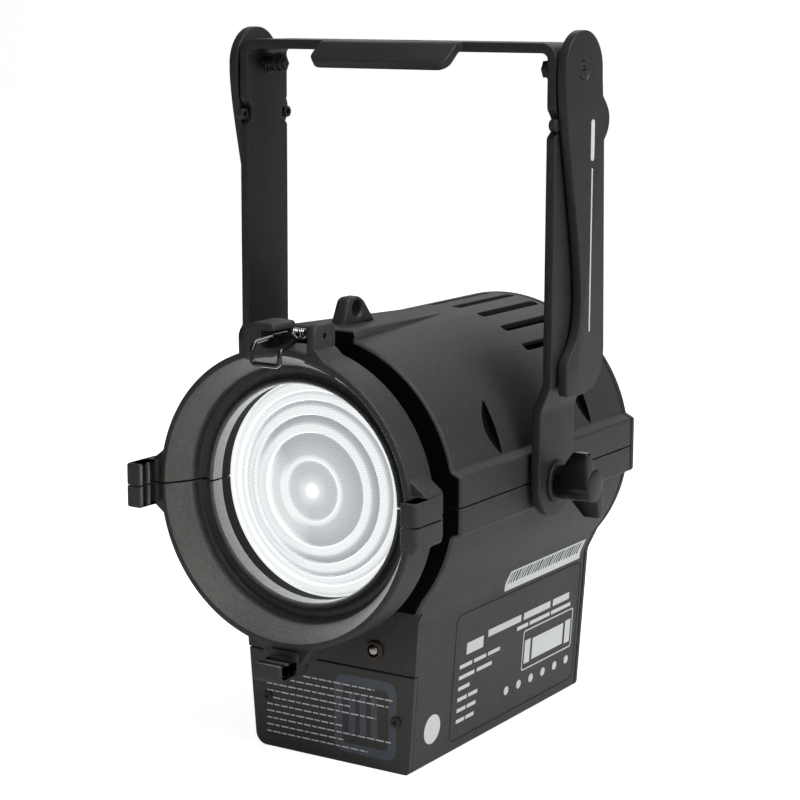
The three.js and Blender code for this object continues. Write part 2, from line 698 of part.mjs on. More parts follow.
// The rocker is pressed in at its lower end when the lamp is on.
function switchRocker() {
  const middle = (SWITCH.z0 + SWITCH.z1) / 2;
  const half = 7.6;
  const side = polygon([
    [ROCKER_PIVOT_Y - 1.5, middle - 5], [PANEL_BACK - 0.6, middle - half], [PANEL_BACK - 0.1, middle],
    [PANEL_BACK + 2.6, middle + half], [ROCKER_PIVOT_Y - 1.5, middle + 5],
  ]);
  return alongX(side, SWITCH.x0 + 2.2, SWITCH.x1 - 2.2);
}

function menuButton(i) {
  const cap = turnY([[0, 176], [BUTTON_RADIUS, 176], [BUTTON_RADIUS, PANEL_BACK + 1],
    [BUTTON_RADIUS - 0.6, PANEL_BACK + 1.6], [0, PANEL_BACK + 1.6]], 12, false);
  return cap.translate([buttonX(i), 0, BUTTON_Z]);
}

function displayWindow() {
  const { x0, x1, z0, z1 } = DISPLAY;
  const glass = block(x0, x1, 179.5, PANEL_BACK + 0.2, z0, z1);
  return join(glass, block(x0 + 2, x1 - 2, 175, 180, z0 + 2, z1 - 2));
}

add('rear_panel', rearPanel(), steelBlack);
PANEL_SCREWS.forEach((place, i) => add(`panel_screw_${i + 1}`, panelScrew(place), steelBlack));
add('power_inlet', powerInlet(), mattBlack);
add('data_input', dataSocket(-SOCKET_X, true), zinc);
add('data_output', dataSocket(SOCKET_X, false), zinc);
add('switch_frame', switchFrame(), mattBlack);
add('switch_rocker', switchRocker(), mattBlack);
add('display_window', displayWindow(), displayDark);
for (let i = 0; i < 4; i += 1) add(`menu_button_${i + 1}`, menuButton(i), mattBlack);
add('driver_board', block(-38, 38, 116, 156, -50, -48.4), boardGreen);
add('battery_pack', block(-33, 33, 40, 108, -114, -60), packBlue);

// ---------------------------------------------------------------- yoke

// Path of the bent bar in (x, z), from the foot of one arm over the top to the other foot.
// inset moves it inwards by the bar's thickness.
function yokeSide(inset, side) {
  const outer = ARM_OUTER - inset;
  const foot = outer - JOGGLE;
  const bend = 7 - inset;
  const points = [[foot, -18], [foot, 31], [outer, 42], [outer, CROSSBAR_TOP - 7]];
  for (let step = 1; step <= 4; step += 1) {
    const angle = (step * Math.PI) / 8;
    points.push([outer - bend + bend * Math.cos(angle), CROSSBAR_TOP - 7 + bend * Math.sin(angle)]);
  }
  return side > 0 ? points : points.map(([x, z]) => [-x, z]).reverse();
}

function bentBar() {
  const outside = [...yokeSide(0, 1), ...yokeSide(0, -1)];
  const inside = [...yokeSide(BAR, 1), ...yokeSide(BAR, -1)].reverse();
  const front = TRUNNION_Y - BAR_WIDTH / 2;
  return alongY(polygon([...outside, ...inside]), front, front + BAR_WIDTH);
}

// Removes the corners below the trunnion so that each arm ends in a half round.
function armEndCutter() {
  const half = BAR_WIDTH / 2 + 1;
  const foot = block(-90, 90, TRUNNION_Y - half, TRUNNION_Y + half, -30, TRUNNION_Z);
  return cut(foot, rod('x', BAR_WIDTH / 2, -95, 95, TRUNNION_Y, TRUNNION_Z, 28));
}

const LIP_HALF = 34;
const LIP_DROP = 11; // the grip lip falls by this much from the top of the crossbar

// Lip bent forward and down from the crossbar, the carrying grip.
function gripLip() {
  const front = TRUNNION_Y - BAR_WIDTH / 2;
  const top = CROSSBAR_TOP;
  const side = polygon([
    [front + 1, top], [front - 2, top - 0.5], [front - 5, top - 2.4], [70, top - 8.7],
    [72.4, top - LIP_DROP - 0.9], [front - 2.6, top - 5.8], [front + 1, top - BAR],
  ]);
  const plan = polygon([
    [-LIP_HALF + 2.5, front + 1], [-LIP_HALF, front - 3], [-LIP_HALF, 73.5], [-LIP_HALF + 3, 69],
    [LIP_HALF - 3, 69], [LIP_HALF, 73.5], [LIP_HALF, front - 3], [LIP_HALF - 2.5, front + 1],
  ]);
  return alongX(side, -LIP_HALF, LIP_HALF).intersect(alongZ(plan, 160, 190));
}

const HANG_HOLE_RADIUS = 5.2;
const PIVOT_RADIUS = 2;

function yokeBracket() {
  const trunnion = rod('x', 4.5, -90, 90, TRUNNION_Y, TRUNNION_Z, 24);
  const legPivot = rod('x', PIVOT_RADIUS + GAP, -90, 90, TRUNNION_Y, PIVOT_Z, 16);
  const hangHole = rod('z', HANG_HOLE_RADIUS, 170, 190, 0, TRUNNION_Y, 24);
  const notches = [-1, 1].map((end) => {
    const y = TRUNNION_Y + (end * BAR_WIDTH) / 2;
    return rod('x', NOTCH_RADIUS, -90, 90, y, PIN_Z, 16);
  });
  const bar = join(bentBar(), gripLip());
  return cut(bar, armEndCutter(), trunnion, legPivot, hangHole, ...notches);
}

const FRONT_PIN_INNER = ARM_OUTER - 2.4;
const REAR_PIN_INNER = ARM_OUTER + 0.2 - LEG_TRAVEL;

// Hollow pin in a notch. The rear one is pressed into the leg and locks it; the front one stays in the bar.
function indexPin(end, innerEnd) {
  const y = TRUNNION_Y + end * (BAR_WIDTH / 2 - NOTCH_RADIUS + PIN_RADIUS + GAP);
  const pin = rod('x', PIN_RADIUS, innerEnd, LEG_INNER - GAP, y, PIN_Z, 12);
  return cut(pin, rod('x', 1.3, innerEnd - 1, ARM_OUTER - 0.6, y, PIN_Z, 8));
}

// ---------------------------------------------------------------- stand legs

function legOutline() {
  const pivot = new THREE.Vector2(TRUNNION_Y, PIVOT_Z);
  const head = 16;
  const shape = new THREE.Shape();
  shape.moveTo(pivot.x - head, pivot.y - 3);
  shape.bezierCurveTo(81, 150, 92.5, 115, 96.4, 86);
  shape.bezierCurveTo(98, 72, 96.5, 62, 89.5, 55.5);
  shape.bezierCurveTo(87, 53, 85.2, 51.5, 85.2, 49);
  shape.lineTo(85.8, 37.6);
  shape.bezierCurveTo(92, 36, 104, 35.6, 110, 39.5);
  shape.bezierCurveTo(115, 42.5, 118, 47, 118.2, 54);
  shape.lineTo(114.9, 142);
  shape.bezierCurveTo(117.6, 144.5, 119.4, 147, 119.4, 151);
  shape.bezierCurveTo(119.4, 155, 115.8, 157.8, 113.2, 160.5);
  shape.lineTo(pivot.x + head, pivot.y - 3);
  shape.absarc(pivot.x, pivot.y, head, -0.05, Math.PI + 0.05, false);
  return shape;
}

const COUNTERSINK = 2.5;
const SCREW_HEAD_RADIUS = 4.4;

function standLeg() {
  const plate = alongX(legOutline(), LEG_INNER, LEG_OUTER, 5);
  const sink = turnX([[0, LEG_OUTER - COUNTERSINK], [PIVOT_RADIUS + GAP, LEG_OUTER - COUNTERSINK],
    [SCREW_HEAD_RADIUS + GAP, LEG_OUTER + 0.01], [0, LEG_OUTER + 0.01]], TRUNNION_Y, PIVOT_Z, 20, false);
  const bore = rod('x', PIVOT_RADIUS + GAP, LEG_INNER - 1, LEG_OUTER + 1, TRUNNION_Y, PIVOT_Z, 16);
  return cut(plate, sink, bore);
}

const NUT_INNER = 65.4;
const NUT_OUTER = 68.8;
const SPRING_INNER = 69.1;
const SPRING_OUTER = ARM_OUTER - BAR - GAP;

// Countersunk screw: it carries the leg, and the spring on its inner end pulls the leg home.
function pivotScrew() {
  const profile = [
    [0, NUT_INNER - 0.6], [PIVOT_RADIUS, NUT_INNER - 0.6], [PIVOT_RADIUS, LEG_OUTER - COUNTERSINK + GAP],
    [SCREW_HEAD_RADIUS - GAP, LEG_OUTER - 0.2], [0, LEG_OUTER - 0.2],
  ];
  return turnX(profile, TRUNNION_Y, PIVOT_Z, 20, false);
}

function pivotNut() {
  const nut = rod('x', 3.9, NUT_INNER, NUT_OUTER, TRUNNION_Y, PIVOT_Z, 6);
  const washer = rod('x', 4.7, NUT_OUTER - 0.9, NUT_OUTER, TRUNNION_Y, PIVOT_Z, 20);
  const bore = rod('x', PIVOT_RADIUS + GAP, NUT_INNER - 1, NUT_OUTER + 1, TRUNNION_Y, PIVOT_Z, 16);
  return cut(join(nut, washer), bore);
}

function pivotSpring() {
  return coil(3.9, 0.5, SPRING_INNER, SPRING_OUTER, 3, TRUNNION_Y, PIVOT_Z);
}

// ---------------------------------------------------------------- clamping knobs

const ARM_FOOT_OUTER = ARM_OUTER - JOGGLE;
const WASHER_OUTER = ARM_FOOT_OUTER + 1.6;
const HUB_INNER = WASHER_OUTER + GAP;
const KNOB_OUTER = 92.5;
const WING_TILT = 5; // degrees the wings lean from upright
const WING_SPAN = 15.4; // tip of a wing from the axis
const WING_INNER = 86.4; // where the sloping inner side of a wing reaches its tip
const HUB_RADIUS = 7.2;

// Two opposed wings in (y, z), each in line with one side of the hub.
function wingOutline() {
  const half = [
    [-HUB_RADIUS, 0], [-HUB_RADIUS, WING_SPAN - 1], [1 - HUB_RADIUS, WING_SPAN], [-3.2, WING_SPAN],
    [-2.2, WING_SPAN - 1], [-0.8, HUB_RADIUS],
  ];
  for (const degrees of [65, 45, 22]) {
    const angle = THREE.MathUtils.degToRad(degrees);
    half.push([HUB_RADIUS * Math.cos(angle), HUB_RADIUS * Math.sin(angle)]);
  }
  return polygon([...half, ...half.map(([y, z]) => [-y, -z])]);
}

function knob() {
  const hub = turnX([[0, HUB_INNER], [HUB_RADIUS, HUB_INNER], [HUB_RADIUS, KNOB_OUTER - 0.5],
    [HUB_RADIUS - 0.5, KNOB_OUTER], [0, KNOB_OUTER]], 0, 0, 24, false);
  const side = polygon([
    [79.8, -HUB_RADIUS], [WING_INNER, -WING_SPAN - 1], [KNOB_OUTER, -WING_SPAN - 1],
    [KNOB_OUTER, WING_SPAN + 1], [WING_INNER, WING_SPAN + 1], [79.8, HUB_RADIUS],
  ]);
  const wings = alongX(wingOutline(), 79, KNOB_OUTER - 0.2).intersect(alongY(side, -20, 20));
  const bore = rod('x', STUD_RADIUS + GAP, HUB_INNER - 1, 86 + GAP, 0, 0, 20);
  const whole = cut(join(hub, wings), bore).rotate([WING_TILT, 0, 0]);
  return whole.translate([0, TRUNNION_Y, TRUNNION_Z]);
}

function knobStud() {
  return rod('x', STUD_RADIUS, 60, 86, TRUNNION_Y, TRUNNION_Z, 20);
}

function knobWasher() {
  const inner = ARM_FOOT_OUTER + GAP;
  const ring = [[4.3, inner], [9, inner], [9, WASHER_OUTER], [4.3, WASHER_OUTER]];
  return turnX(ring, TRUNNION_Y, TRUNNION_Z, 18);
}

add('yoke_bracket', yokeBracket(), steelBlack);
for (const [name, side] of SIDES) {
  add(`index_pin_front_${name}`, onSide(indexPin(-1, FRONT_PIN_INNER), side), steelBlack);
  add(`index_pin_rear_${name}`, onSide(indexPin(1, REAR_PIN_INNER), side), steelBlack);
  add(`stand_leg_${name}`, onSide(standLeg(), side), steelBlack);
  add(`pivot_screw_${name}`, onSide(pivotScrew(), side), steelBlack);
  add(`pivot_spring_${name}`, onSide(pivotSpring(), side), springSteel);
  add(`pivot_nut_${name}`, onSide(pivotNut(), side), steelBlack);
  add(`knob_${name}`, onSide(knob(), side), glossBlack);
  add(`knob_stud_${name}`, onSide(knobStud(), side), zinc);
  add(`knob_washer_${name}`, onSide(knobWasher(), side), steelBlack);
}

// ---------------------------------------------------------------- retaining bail

const BAIL_LEFT = -5;
const BAIL_RIGHT = 8.6;
const BAIL_FRONT = -13;
const BAIL_FOOT_Z = 57.6;

function retainingBail() {
  const [y, z] = [BAIL_PIVOT_Y, BAIL_PIVOT_Z];
  return bentWire([
    [-9.8, y, z], [BAIL_LEFT, y, z], [BAIL_LEFT, BAIL_FRONT, z], [BAIL_LEFT, BAIL_FRONT, BAIL_FOOT_Z],
    [BAIL_RIGHT, BAIL_FRONT, BAIL_FOOT_Z], [BAIL_RIGHT, BAIL_FRONT, z], [BAIL_RIGHT, y, z], [15.8, y, z],
  ], BAIL_WIRE);
}

add('retaining_bail', retainingBail(), springSteel);
add('bail_spring', coil(1.9, 0.4, 1.2, 7.2, 4, BAIL_PIVOT_Y, BAIL_PIVOT_Z), springSteel);

export default lamp;
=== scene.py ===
"""Looks for the fresnel spotlight: fine meshes, materials, floor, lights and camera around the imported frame.

Shapes are drawn in the lamp's own millimetres: x across, y back from the front rim, z up from the
optical axis. piece() scales each finished mesh to metres and sets it in the frame.
"""

import json
import math

import bmesh
import bpy
from mathutils import Matrix, Vector


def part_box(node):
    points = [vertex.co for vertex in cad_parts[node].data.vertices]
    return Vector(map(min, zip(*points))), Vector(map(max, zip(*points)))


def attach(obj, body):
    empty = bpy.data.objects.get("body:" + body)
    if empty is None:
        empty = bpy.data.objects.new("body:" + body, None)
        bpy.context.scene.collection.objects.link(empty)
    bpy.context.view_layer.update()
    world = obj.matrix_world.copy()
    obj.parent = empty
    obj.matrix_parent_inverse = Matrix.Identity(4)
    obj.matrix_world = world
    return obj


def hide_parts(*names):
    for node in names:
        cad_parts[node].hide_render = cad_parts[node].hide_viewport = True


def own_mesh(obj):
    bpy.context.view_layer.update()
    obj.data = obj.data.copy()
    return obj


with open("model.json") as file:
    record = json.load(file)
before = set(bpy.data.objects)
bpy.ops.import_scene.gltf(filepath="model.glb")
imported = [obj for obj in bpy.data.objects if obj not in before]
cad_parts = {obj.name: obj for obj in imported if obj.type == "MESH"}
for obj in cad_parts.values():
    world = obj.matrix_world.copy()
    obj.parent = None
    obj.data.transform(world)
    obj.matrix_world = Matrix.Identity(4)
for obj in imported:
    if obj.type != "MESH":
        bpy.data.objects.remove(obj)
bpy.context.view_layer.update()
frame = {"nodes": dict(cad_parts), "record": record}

MM = 0.001

# ------------------------------------------------------------------ sizes read from the frame

LENS_CROWN_Y = 22.4  # the middle of the lens front lies this far behind the rim
_lens_low, _lens_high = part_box("fresnel_lens")
ORIGIN = Vector((0, _lens_low.y - LENS_CROWN_Y * MM, (_lens_low.z + _lens_high.z) / 2))


def local_box(node):
    """Corners of a CAD node in the lamp's millimetres."""
    low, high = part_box(node)
    return (low - ORIGIN) / MM, (high - ORIGIN) / MM


def middle(node):
    low, high = local_box(node)
    return (low + high) / 2


SHELL_LOW, SHELL_HIGH = local_box("lower_shell")
REAR_LOW, REAR_HIGH = local_box("rear_panel")
YOKE_LOW, YOKE_HIGH = local_box("yoke_bracket")
LEG_LOW, LEG_HIGH = local_box("stand_leg_right")
KNOB_LOW, KNOB_HIGH = local_box("knob_right")
TRUNNION = middle("knob_stud_right")
PIVOT = middle("pivot_screw_right")
PIN = middle("index_pin_rear_right")
INDICATOR = middle("indicator_lens")
BAIL_Y, BAIL_Z = middle("bail_spring").y, middle("bail_spring").z
FLOOR_Z = SHELL_LOW.z
LENS_RADIUS = local_box("fresnel_lens")[1].x
LENS_BACK = local_box("fresnel_lens")[1].y
LENS_RIM_Y = LENS_BACK - 2.4

# ------------------------------------------------------------------ sizes kept here, in millimetres

FIT = 0.3
SEAM = 0.8
COVER_GROOVE = 0.9
DOOR = 2.2
DOOR_TOP = -75.6
WALL = 3
BODY_FRONT = 28
BODY_REAR = REAR_LOW.y - COVER_GROOVE
BODY_RADIUS = REAR_HIGH.z
FLANGE_HALF = REAR_HIGH.x
FLANGE_TOP = 12.5
FLANGE_BOTTOM = -11.5
BOX_FRONT = local_box("battery_cover")[0].y
BOX_TOP_HALF = 45.6
BOX_TOP_Z = -51.6
BOX_FOOT_HALF = 41
BOX_LEFT_TOP = 42.4
BOX_LEFT_FOOT = 36.9
SHOULDER_ANGLE = -41
RING_RADIUS = 62
RING_DEPTH = 18.5
NECK_RADIUS = 51.5
TUNNEL_RADIUS = 45.6
CLIP_REACH = SHELL_HIGH.x
CLIP_FRONT = SHELL_LOW.y
BOTTOM_CLIP_DROP = 2.2
BAR = 4.1
BAR_WIDTH = 30.2
JOGGLE = 4.7
ARM_OUTER = YOKE_HIGH.x
CROSSBAR_TOP = YOKE_HIGH.z
SIDES = (("left", -1), ("right", 1))

# ------------------------------------------------------------------ outlines


def arc(centre_a, centre_b, radius, start, end, steps):
    """Points on an arc, angles in degrees."""
    points = []
    for i in range(steps + 1):
        angle = math.radians(start + (end - start) * i / steps)
        points.append((centre_a + radius * math.cos(angle), centre_b + radius * math.sin(angle)))
    return points


def bezier(p0, p1, p2, p3, steps=14):
    """Points on a cubic curve, without its first point."""
    points = []
    for i in range(1, steps + 1):
        t = i / steps
        weights = ((1 - t) ** 3, 3 * t * (1 - t) ** 2, 3 * t * t * (1 - t), t**3)
        points.append(tuple(sum(w * p[k] for w, p in zip(weights, (p0, p1, p2, p3))) for k in (0, 1)))
    return points


def fillet(before, here, after, radius, steps):
    """The arc that rounds one corner; works in two or three dimensions."""
    to_before = (before - here).normalized()
    to_after = (after - here).normalized()
    half = to_before.angle(to_after) / 2
    if radius <= 0 or half > math.radians(89.5):
        return [here]
    start = here + to_before * (radius / math.tan(half))
    end = here + to_after * (radius / math.tan(half))
    centre = here + (to_before + to_after).normalized() * (radius / math.sin(half))
    arm, far = start - centre, end - centre
    sweep = math.pi - 2 * half
    points = []
    for i in range(steps + 1):
        t = i / steps
        share = (math.sin((1 - t) * sweep) * arm + math.sin(t * sweep) * far) / math.sin(sweep)
        points.append(centre + share)
    return points


def rounded(corners, steps=6):
    """A closed outline from (a, b) or (a, b, radius) corners."""
    outline = []
    count = len(corners)
    for i, corner in enumerate(corners):
        here = Vector(corner[:2])
        before, after = Vector(corners[i - 1][:2]), Vector(corners[(i + 1) % count][:2])
        radius = corner[2] if len(corner) > 2 else 0
        outline.extend(fillet(before, here, after, radius, steps))
    return [tuple(p) for p in outline]


def mirrored(right_half):
    """Adds the left half of an outline, given its right half from bottom to top."""
    left = [(-corner[0], *corner[1:]) for corner in reversed(right_half)]
    return right_half + left


def rectangle(a0, a1, b0, b1, radius):
    return [(a0, b0, radius), (a1, b0, radius), (a1, b1, radius), (a0, b1, radius)]


def inset(outline, distance):
    """The outline moved inwards by a distance."""
    count = len(outline)
    area = sum(outline[i - 1][0] * outline[i][1] - outline[i][0] * outline[i - 1][1] for i in range(count))
    turn = 1 if area > 0 else -1
    moved = []
    for i in range(count):
        here = Vector(outline[i])
        back = (here - Vector(outline[i - 1])).normalized()
        ahead = (Vector(outline[(i + 1) % count]) - here).normalized()
        n1, n2 = Vector((-back.y, back.x)) * turn, Vector((-ahead.y, ahead.x)) * turn
        moved.append(tuple(here + (n1 + n2) * (distance / max(0.35, 1 + n1.dot(n2)))))
    return moved


# ------------------------------------------------------------------ solids, as bmesh in millimetres

AXIS_ORDER = {"x": lambda s, a, b: (s, a, b), "y": lambda s, a, b: (a, s, b), "z": lambda s, a, b: (a, b, s)}


def skin(rings, closed_ends=True):
    """A closed surface through matching rings of points."""
    bm = bmesh.new()
    loops = [[bm.verts.new(p) for p in ring] for ring in rings]
    count = len(rings[0])
    for low, high in zip(loops, loops[1:]):
        for i in range(count):
            j = (i + 1) % count
            bm.faces.new((low[i], low[j], high[j], high[i]))
    if closed_ends:
        bm.faces.new(loops[0][::-1])
        bm.faces.new(loops[-1])
    return facing_out(bm)


def facing_out(bm):
    bmesh.ops.recalc_face_normals(bm, faces=bm.faces)
    if bm.calc_volume(signed=True) < 0:
        bmesh.ops.reverse_faces(bm, faces=bm.faces)
    return bm


def prism(outline, axis, s0, s1, edge=0.6, edge_end=None, steps=3):
    """An outline carried along an axis, with its end edges rounded."""
    edge_end = edge if edge_end is None else edge_end
    place = AXIS_ORDER[axis]
    rings = []

    def add_ring(s, distance):
        rings.append([place(s, a, b) for a, b in (inset(outline, distance) if distance else outline)])

    for i in range(steps + 1 if edge else 1):
        phi = math.pi / 2 * (i / steps if edge else 1)
        add_ring(s0 + edge * (1 - math.cos(phi)), edge * (1 - math.sin(phi)))
    for i in range(steps + 1 if edge_end else 1):
        phi = math.pi / 2 * (1 - i / steps if edge_end else 1)
        add_ring(s1 - edge_end * (1 - math.cos(phi)), edge_end * (1 - math.sin(phi)))
    return skin(rings)


def box(x0, x1, y0, y1, z0, z1, radius=0.0, edge=0.0):
    corners = rectangle(x0, x1, z0, z1, radius)
    return prism(rounded(corners, 4), "y", y0, y1, edge)


def lathe(profile, segments=96, axis="y", centre=(0, 0)):
    """A closed (radius, distance) profile turned about an axis through centre."""
    place = AXIS_ORDER[axis]
    bm = bmesh.new()
    rings = []
    for i in range(segments):
        angle = 2 * math.pi * i / segments
        c, s = math.cos(angle), math.sin(angle)
        rings.append([bm.verts.new(place(d, centre[0] + r * c, centre[1] + r * s)) for r, d in profile])
    for i in range(segments):
        this, after = rings[i], rings[(i + 1) % segments]
        for k in range(len(profile)):
            m = (k + 1) % len(profile)
            if profile[k][0] > 1e-6 or profile[m][0] > 1e-6:
                bm.faces.new((this[k], this[m], after[m], after[k]))
    bmesh.ops.remove_doubles(bm, verts=bm.verts, dist=1e-4)
    bmesh.ops.dissolve_degenerate(bm, edges=bm.edges, dist=1e-5)
    return facing_out(bm)


def cylinder(radius, axis, s0, s1, centre=(0, 0), edge=0.0, segments=48):
    return prism(arc(*centre, radius, 0, 360 - 360 / segments, segments - 1), axis, s0, s1, edge)


def soften(points, radius, steps=5):
    """A path through 3-D points with rounded bends."""
    points = [Vector(p) for p in points]
    path = [points[0]]
    for i in range(1, len(points) - 1):
        path.extend(fillet(points[i - 1], points[i], points[i + 1], radius, steps))
    path.append(points[-1])
    return path


def wire(path, radius, sides=12):
    """Round wire along a path, with slightly rounded ends."""
    rings = []
    tangent = (path[1] - path[0]).normalized()
    normal = tangent.orthogonal().normalized()
    count = len(path)
    for i, point in enumerate(path):
        ahead, back = path[min(i + 1, count - 1)], path[max(i - 1, 0)]
        tangent = (ahead - back).normalized()
        normal = (normal - tangent * normal.dot(tangent)).normalized()
        side = tangent.cross(normal)
        girth = radius * (0.6 if i in (0, count - 1) else 1)
        ring = []
        for k in range(sides):
            angle = 2 * math.pi * k / sides
            ring.append(point + (normal * math.cos(angle) + side * math.sin(angle)) * girth)
        rings.append(ring)
    return skin(rings)


def helix(radius, x0, x1, turns, y, z, steps=28):
    """Path of a coil about x, with its first and last turn closed up."""
    path = []
    total = int(turns * steps)
    for i in range(total + 1):
        t = i / total
        ease = t + 0.35 * math.sin(4 * math.pi * t) / (4 * math.pi)
        angle = 2 * math.pi * turns * t
        path.append(Vector((x0 + (x1 - x0) * ease, y + radius * math.cos(angle), z + radius * math.sin(angle))))
    return path


def moved(bm, matrix):
    bmesh.ops.transform(bm, matrix=matrix, verts=bm.verts)
    return bm


def turned(bm, axis, degrees, centre=(0, 0, 0)):
    shift = Matrix.Translation(centre)
    return moved(bm, shift @ Matrix.Rotation(math.radians(degrees), 4, axis) @ shift.inverted())


def flipped(bm, side):
    """Mirrors a right-hand solid to the left when side is -1."""
    if side < 0:
        moved(bm, Matrix.Scale(-1, 4, (1, 0, 0)))
        bmesh.ops.reverse_faces(bm, faces=bm.faces)
    return bm


def as_object(bm, name="temporary"):
    mesh = bpy.data.meshes.new(name)
    bm.to_mesh(mesh)
    bm.free()
    obj = bpy.data.objects.new(name, mesh)
    bpy.context.scene.collection.objects.link(obj)
    return obj


def combine(operation, body, *tools):
    """Union, difference or intersection of solids."""
    target = as_object(body)
    others = [as_object(tool) for tool in tools]
    for other in others:
        modifier = target.modifiers.new("join", "BOOLEAN")
        modifier.operation = operation
        modifier.solver = "MANIFOLD"
        modifier.object = other
    graph = bpy.context.evaluated_depsgraph_get()
    result = bmesh.new()
    result.from_mesh(target.evaluated_get(graph).to_mesh())
    for obj in (target, *others):
        bpy.data.objects.remove(obj)
    bmesh.ops.remove_doubles(result, verts=result.verts, dist=2e-4)
    bmesh.ops.dissolve_degenerate(result, edges=result.edges, dist=2e-4)
    return result


def join(body, *tools):
    return combine("UNION", body, *tools)


def cut(body, *tools):
    return combine("DIFFERENCE", body, *tools)


def common(body, *tools):
    return combine("INTERSECT", body, *tools)


def together(*solids):
    """Several separate solids in one mesh."""
    bm = bmesh.new()
    for solid in solids:
        mesh = bpy.data.meshes.new("part")
        solid.to_mesh(mesh)
        solid.free()
        bm.from_mesh(mesh)
        bpy.data.meshes.remove(mesh)
    return bm


def body_of(node):
    groups = frame["record"]["behaviour"]["bodies"]
    return next(name for name, members in groups.items() if node in members)


SHARP_ANGLE = math.radians(32)


def piece(name, bm, material, *nodes):
    """Turns a solid into a piece of the lamp that stands for the named CAD nodes."""
    bmesh.ops.scale(bm, vec=(MM, MM, MM), verts=bm.verts)
    bmesh.ops.translate(bm, vec=ORIGIN, verts=bm.verts)
    for face in bm.faces:
        face.smooth = True
    for edge in bm.edges:
        edge.smooth = edge.calc_face_angle(0) < SHARP_ANGLE
    obj = as_object(bm, name)
    obj.data.materials.append(material)
    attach(obj, body_of(nodes[0]))
    if not obj.name.startswith("mark_"):
        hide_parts(*nodes)
    return obj


# ------------------------------------------------------------------ material building blocks


class Shader:
    """A material and short ways to add nodes to it."""

    def __init__(self, name):
        self.material = bpy.data.materials.new(name)
        self.material.use_nodes = True
        self.tree = self.material.node_tree
        self.surface = self.tree.nodes["Principled BSDF"]
        self.place = self.node("ShaderNodeTexCoord").outputs["Object"]

    def node(self, kind, **settings):
        made = self.tree.nodes.new(kind)
        for key, value in settings.items():
            setattr(made, key, value)
        return made

    def feed(self, socket, value):
        if isinstance(value, bpy.types.NodeSocket):
            self.tree.links.new(value, socket)
        elif socket.type == "RGBA" and len(value) == 3:
            socket.default_value = (*value, 1)
        else:
            socket.default_value = value

    def math(self, operation, *values, clamp=False):
        made = self.node("ShaderNodeMath", operation=operation, use_clamp=clamp)
        for socket, value in zip(made.inputs, values):
            self.feed(socket, value)
        return made.outputs[0]

    def vector(self, operation, *values):
        made = self.node("ShaderNodeVectorMath", operation=operation)
        for socket, value in zip(made.inputs, values):
            self.feed(socket, value)
        return made.outputs["Value" if operation in ("DOT_PRODUCT", "LENGTH") else "Vector"]

    def noise(self, size_mm, detail=3.0, roughness=0.55, stretch=(1, 1, 1)):
        place = self.vector("MULTIPLY", self.place, stretch)
        made = self.node("ShaderNodeTexNoise")
        self.feed(made.inputs["Vector"], place)
        made.inputs["Scale"].default_value = 1 / (size_mm * MM)
        made.inputs["Detail"].default_value = detail
        made.inputs["Roughness"].default_value = roughness
        return made.outputs["Fac"]

    def cells(self, size_mm, feature="F1"):
        made = self.node("ShaderNodeTexVoronoi", feature=feature)
        self.feed(made.inputs["Vector"], self.place)
        made.inputs["Scale"].default_value = 1 / (size_mm * MM)
        return made.outputs["Distance"]

    def ramp(self, value, stops):
        made = self.node("ShaderNodeValToRGB")
        band = made.color_ramp
        while len(band.elements) < len(stops):
            band.elements.new(0.5)
        for element, (position, color) in zip(band.elements, stops):
            element.position = position
            element.color = (*color, 1) if isinstance(color, tuple) else (color, color, color, 1)
        self.feed(made.inputs["Fac"], value)
        return made.outputs["Color"]

    def mix(self, factor, low, high):
        made = self.node("ShaderNodeMix", data_type="RGBA")
        self.feed(made.inputs["Factor"], factor)
        self.feed(made.inputs[6], low)
        self.feed(made.inputs[7], high)
        return made.outputs[2]

    def range(self, value, low, high):
        made = self.node("ShaderNodeMapRange")
        self.feed(made.inputs["Value"], value)
        made.inputs["To Min"].default_value = low
        made.inputs["To Max"].default_value = high
        return made.outputs["Result"]

    def rounded_normal(self, radius_mm):
        made = self.node("ShaderNodeBevel", samples=4)
        made.inputs["Radius"].default_value = radius_mm * MM
        return made.outputs["Normal"]

    def edges(self, normal, gain):
        """1 on outside edges, 0 on flat faces."""
        flat = self.node("ShaderNodeNewGeometry").outputs["Normal"]
        away = self.math("SUBTRACT", 1.0, self.vector("DOT_PRODUCT", normal, flat))
        return self.math("MULTIPLY", away, gain, clamp=True)

    def bump(self, height, strength, distance_mm, normal=None):
        made = self.node("ShaderNodeBump")
        made.inputs["Strength"].default_value = strength
        made.inputs["Distance"].default_value = distance_mm * MM
        self.feed(made.inputs["Height"], height)
        if normal is not None:
            self.feed(made.inputs["Normal"], normal)
        return made.outputs["Normal"]

    def finish(self, color, roughness, normal=None, **others):
        self.feed(self.surface.inputs["Base Color"], color)
        self.feed(self.surface.inputs["Roughness"], roughness)
        if normal is not None:
            self.feed(self.surface.inputs["Normal"], normal)
        for key, value in others.items():
            self.feed(self.surface.inputs[key.replace("_", " ")], value)
        return self.material


# ------------------------------------------------------------------ materials


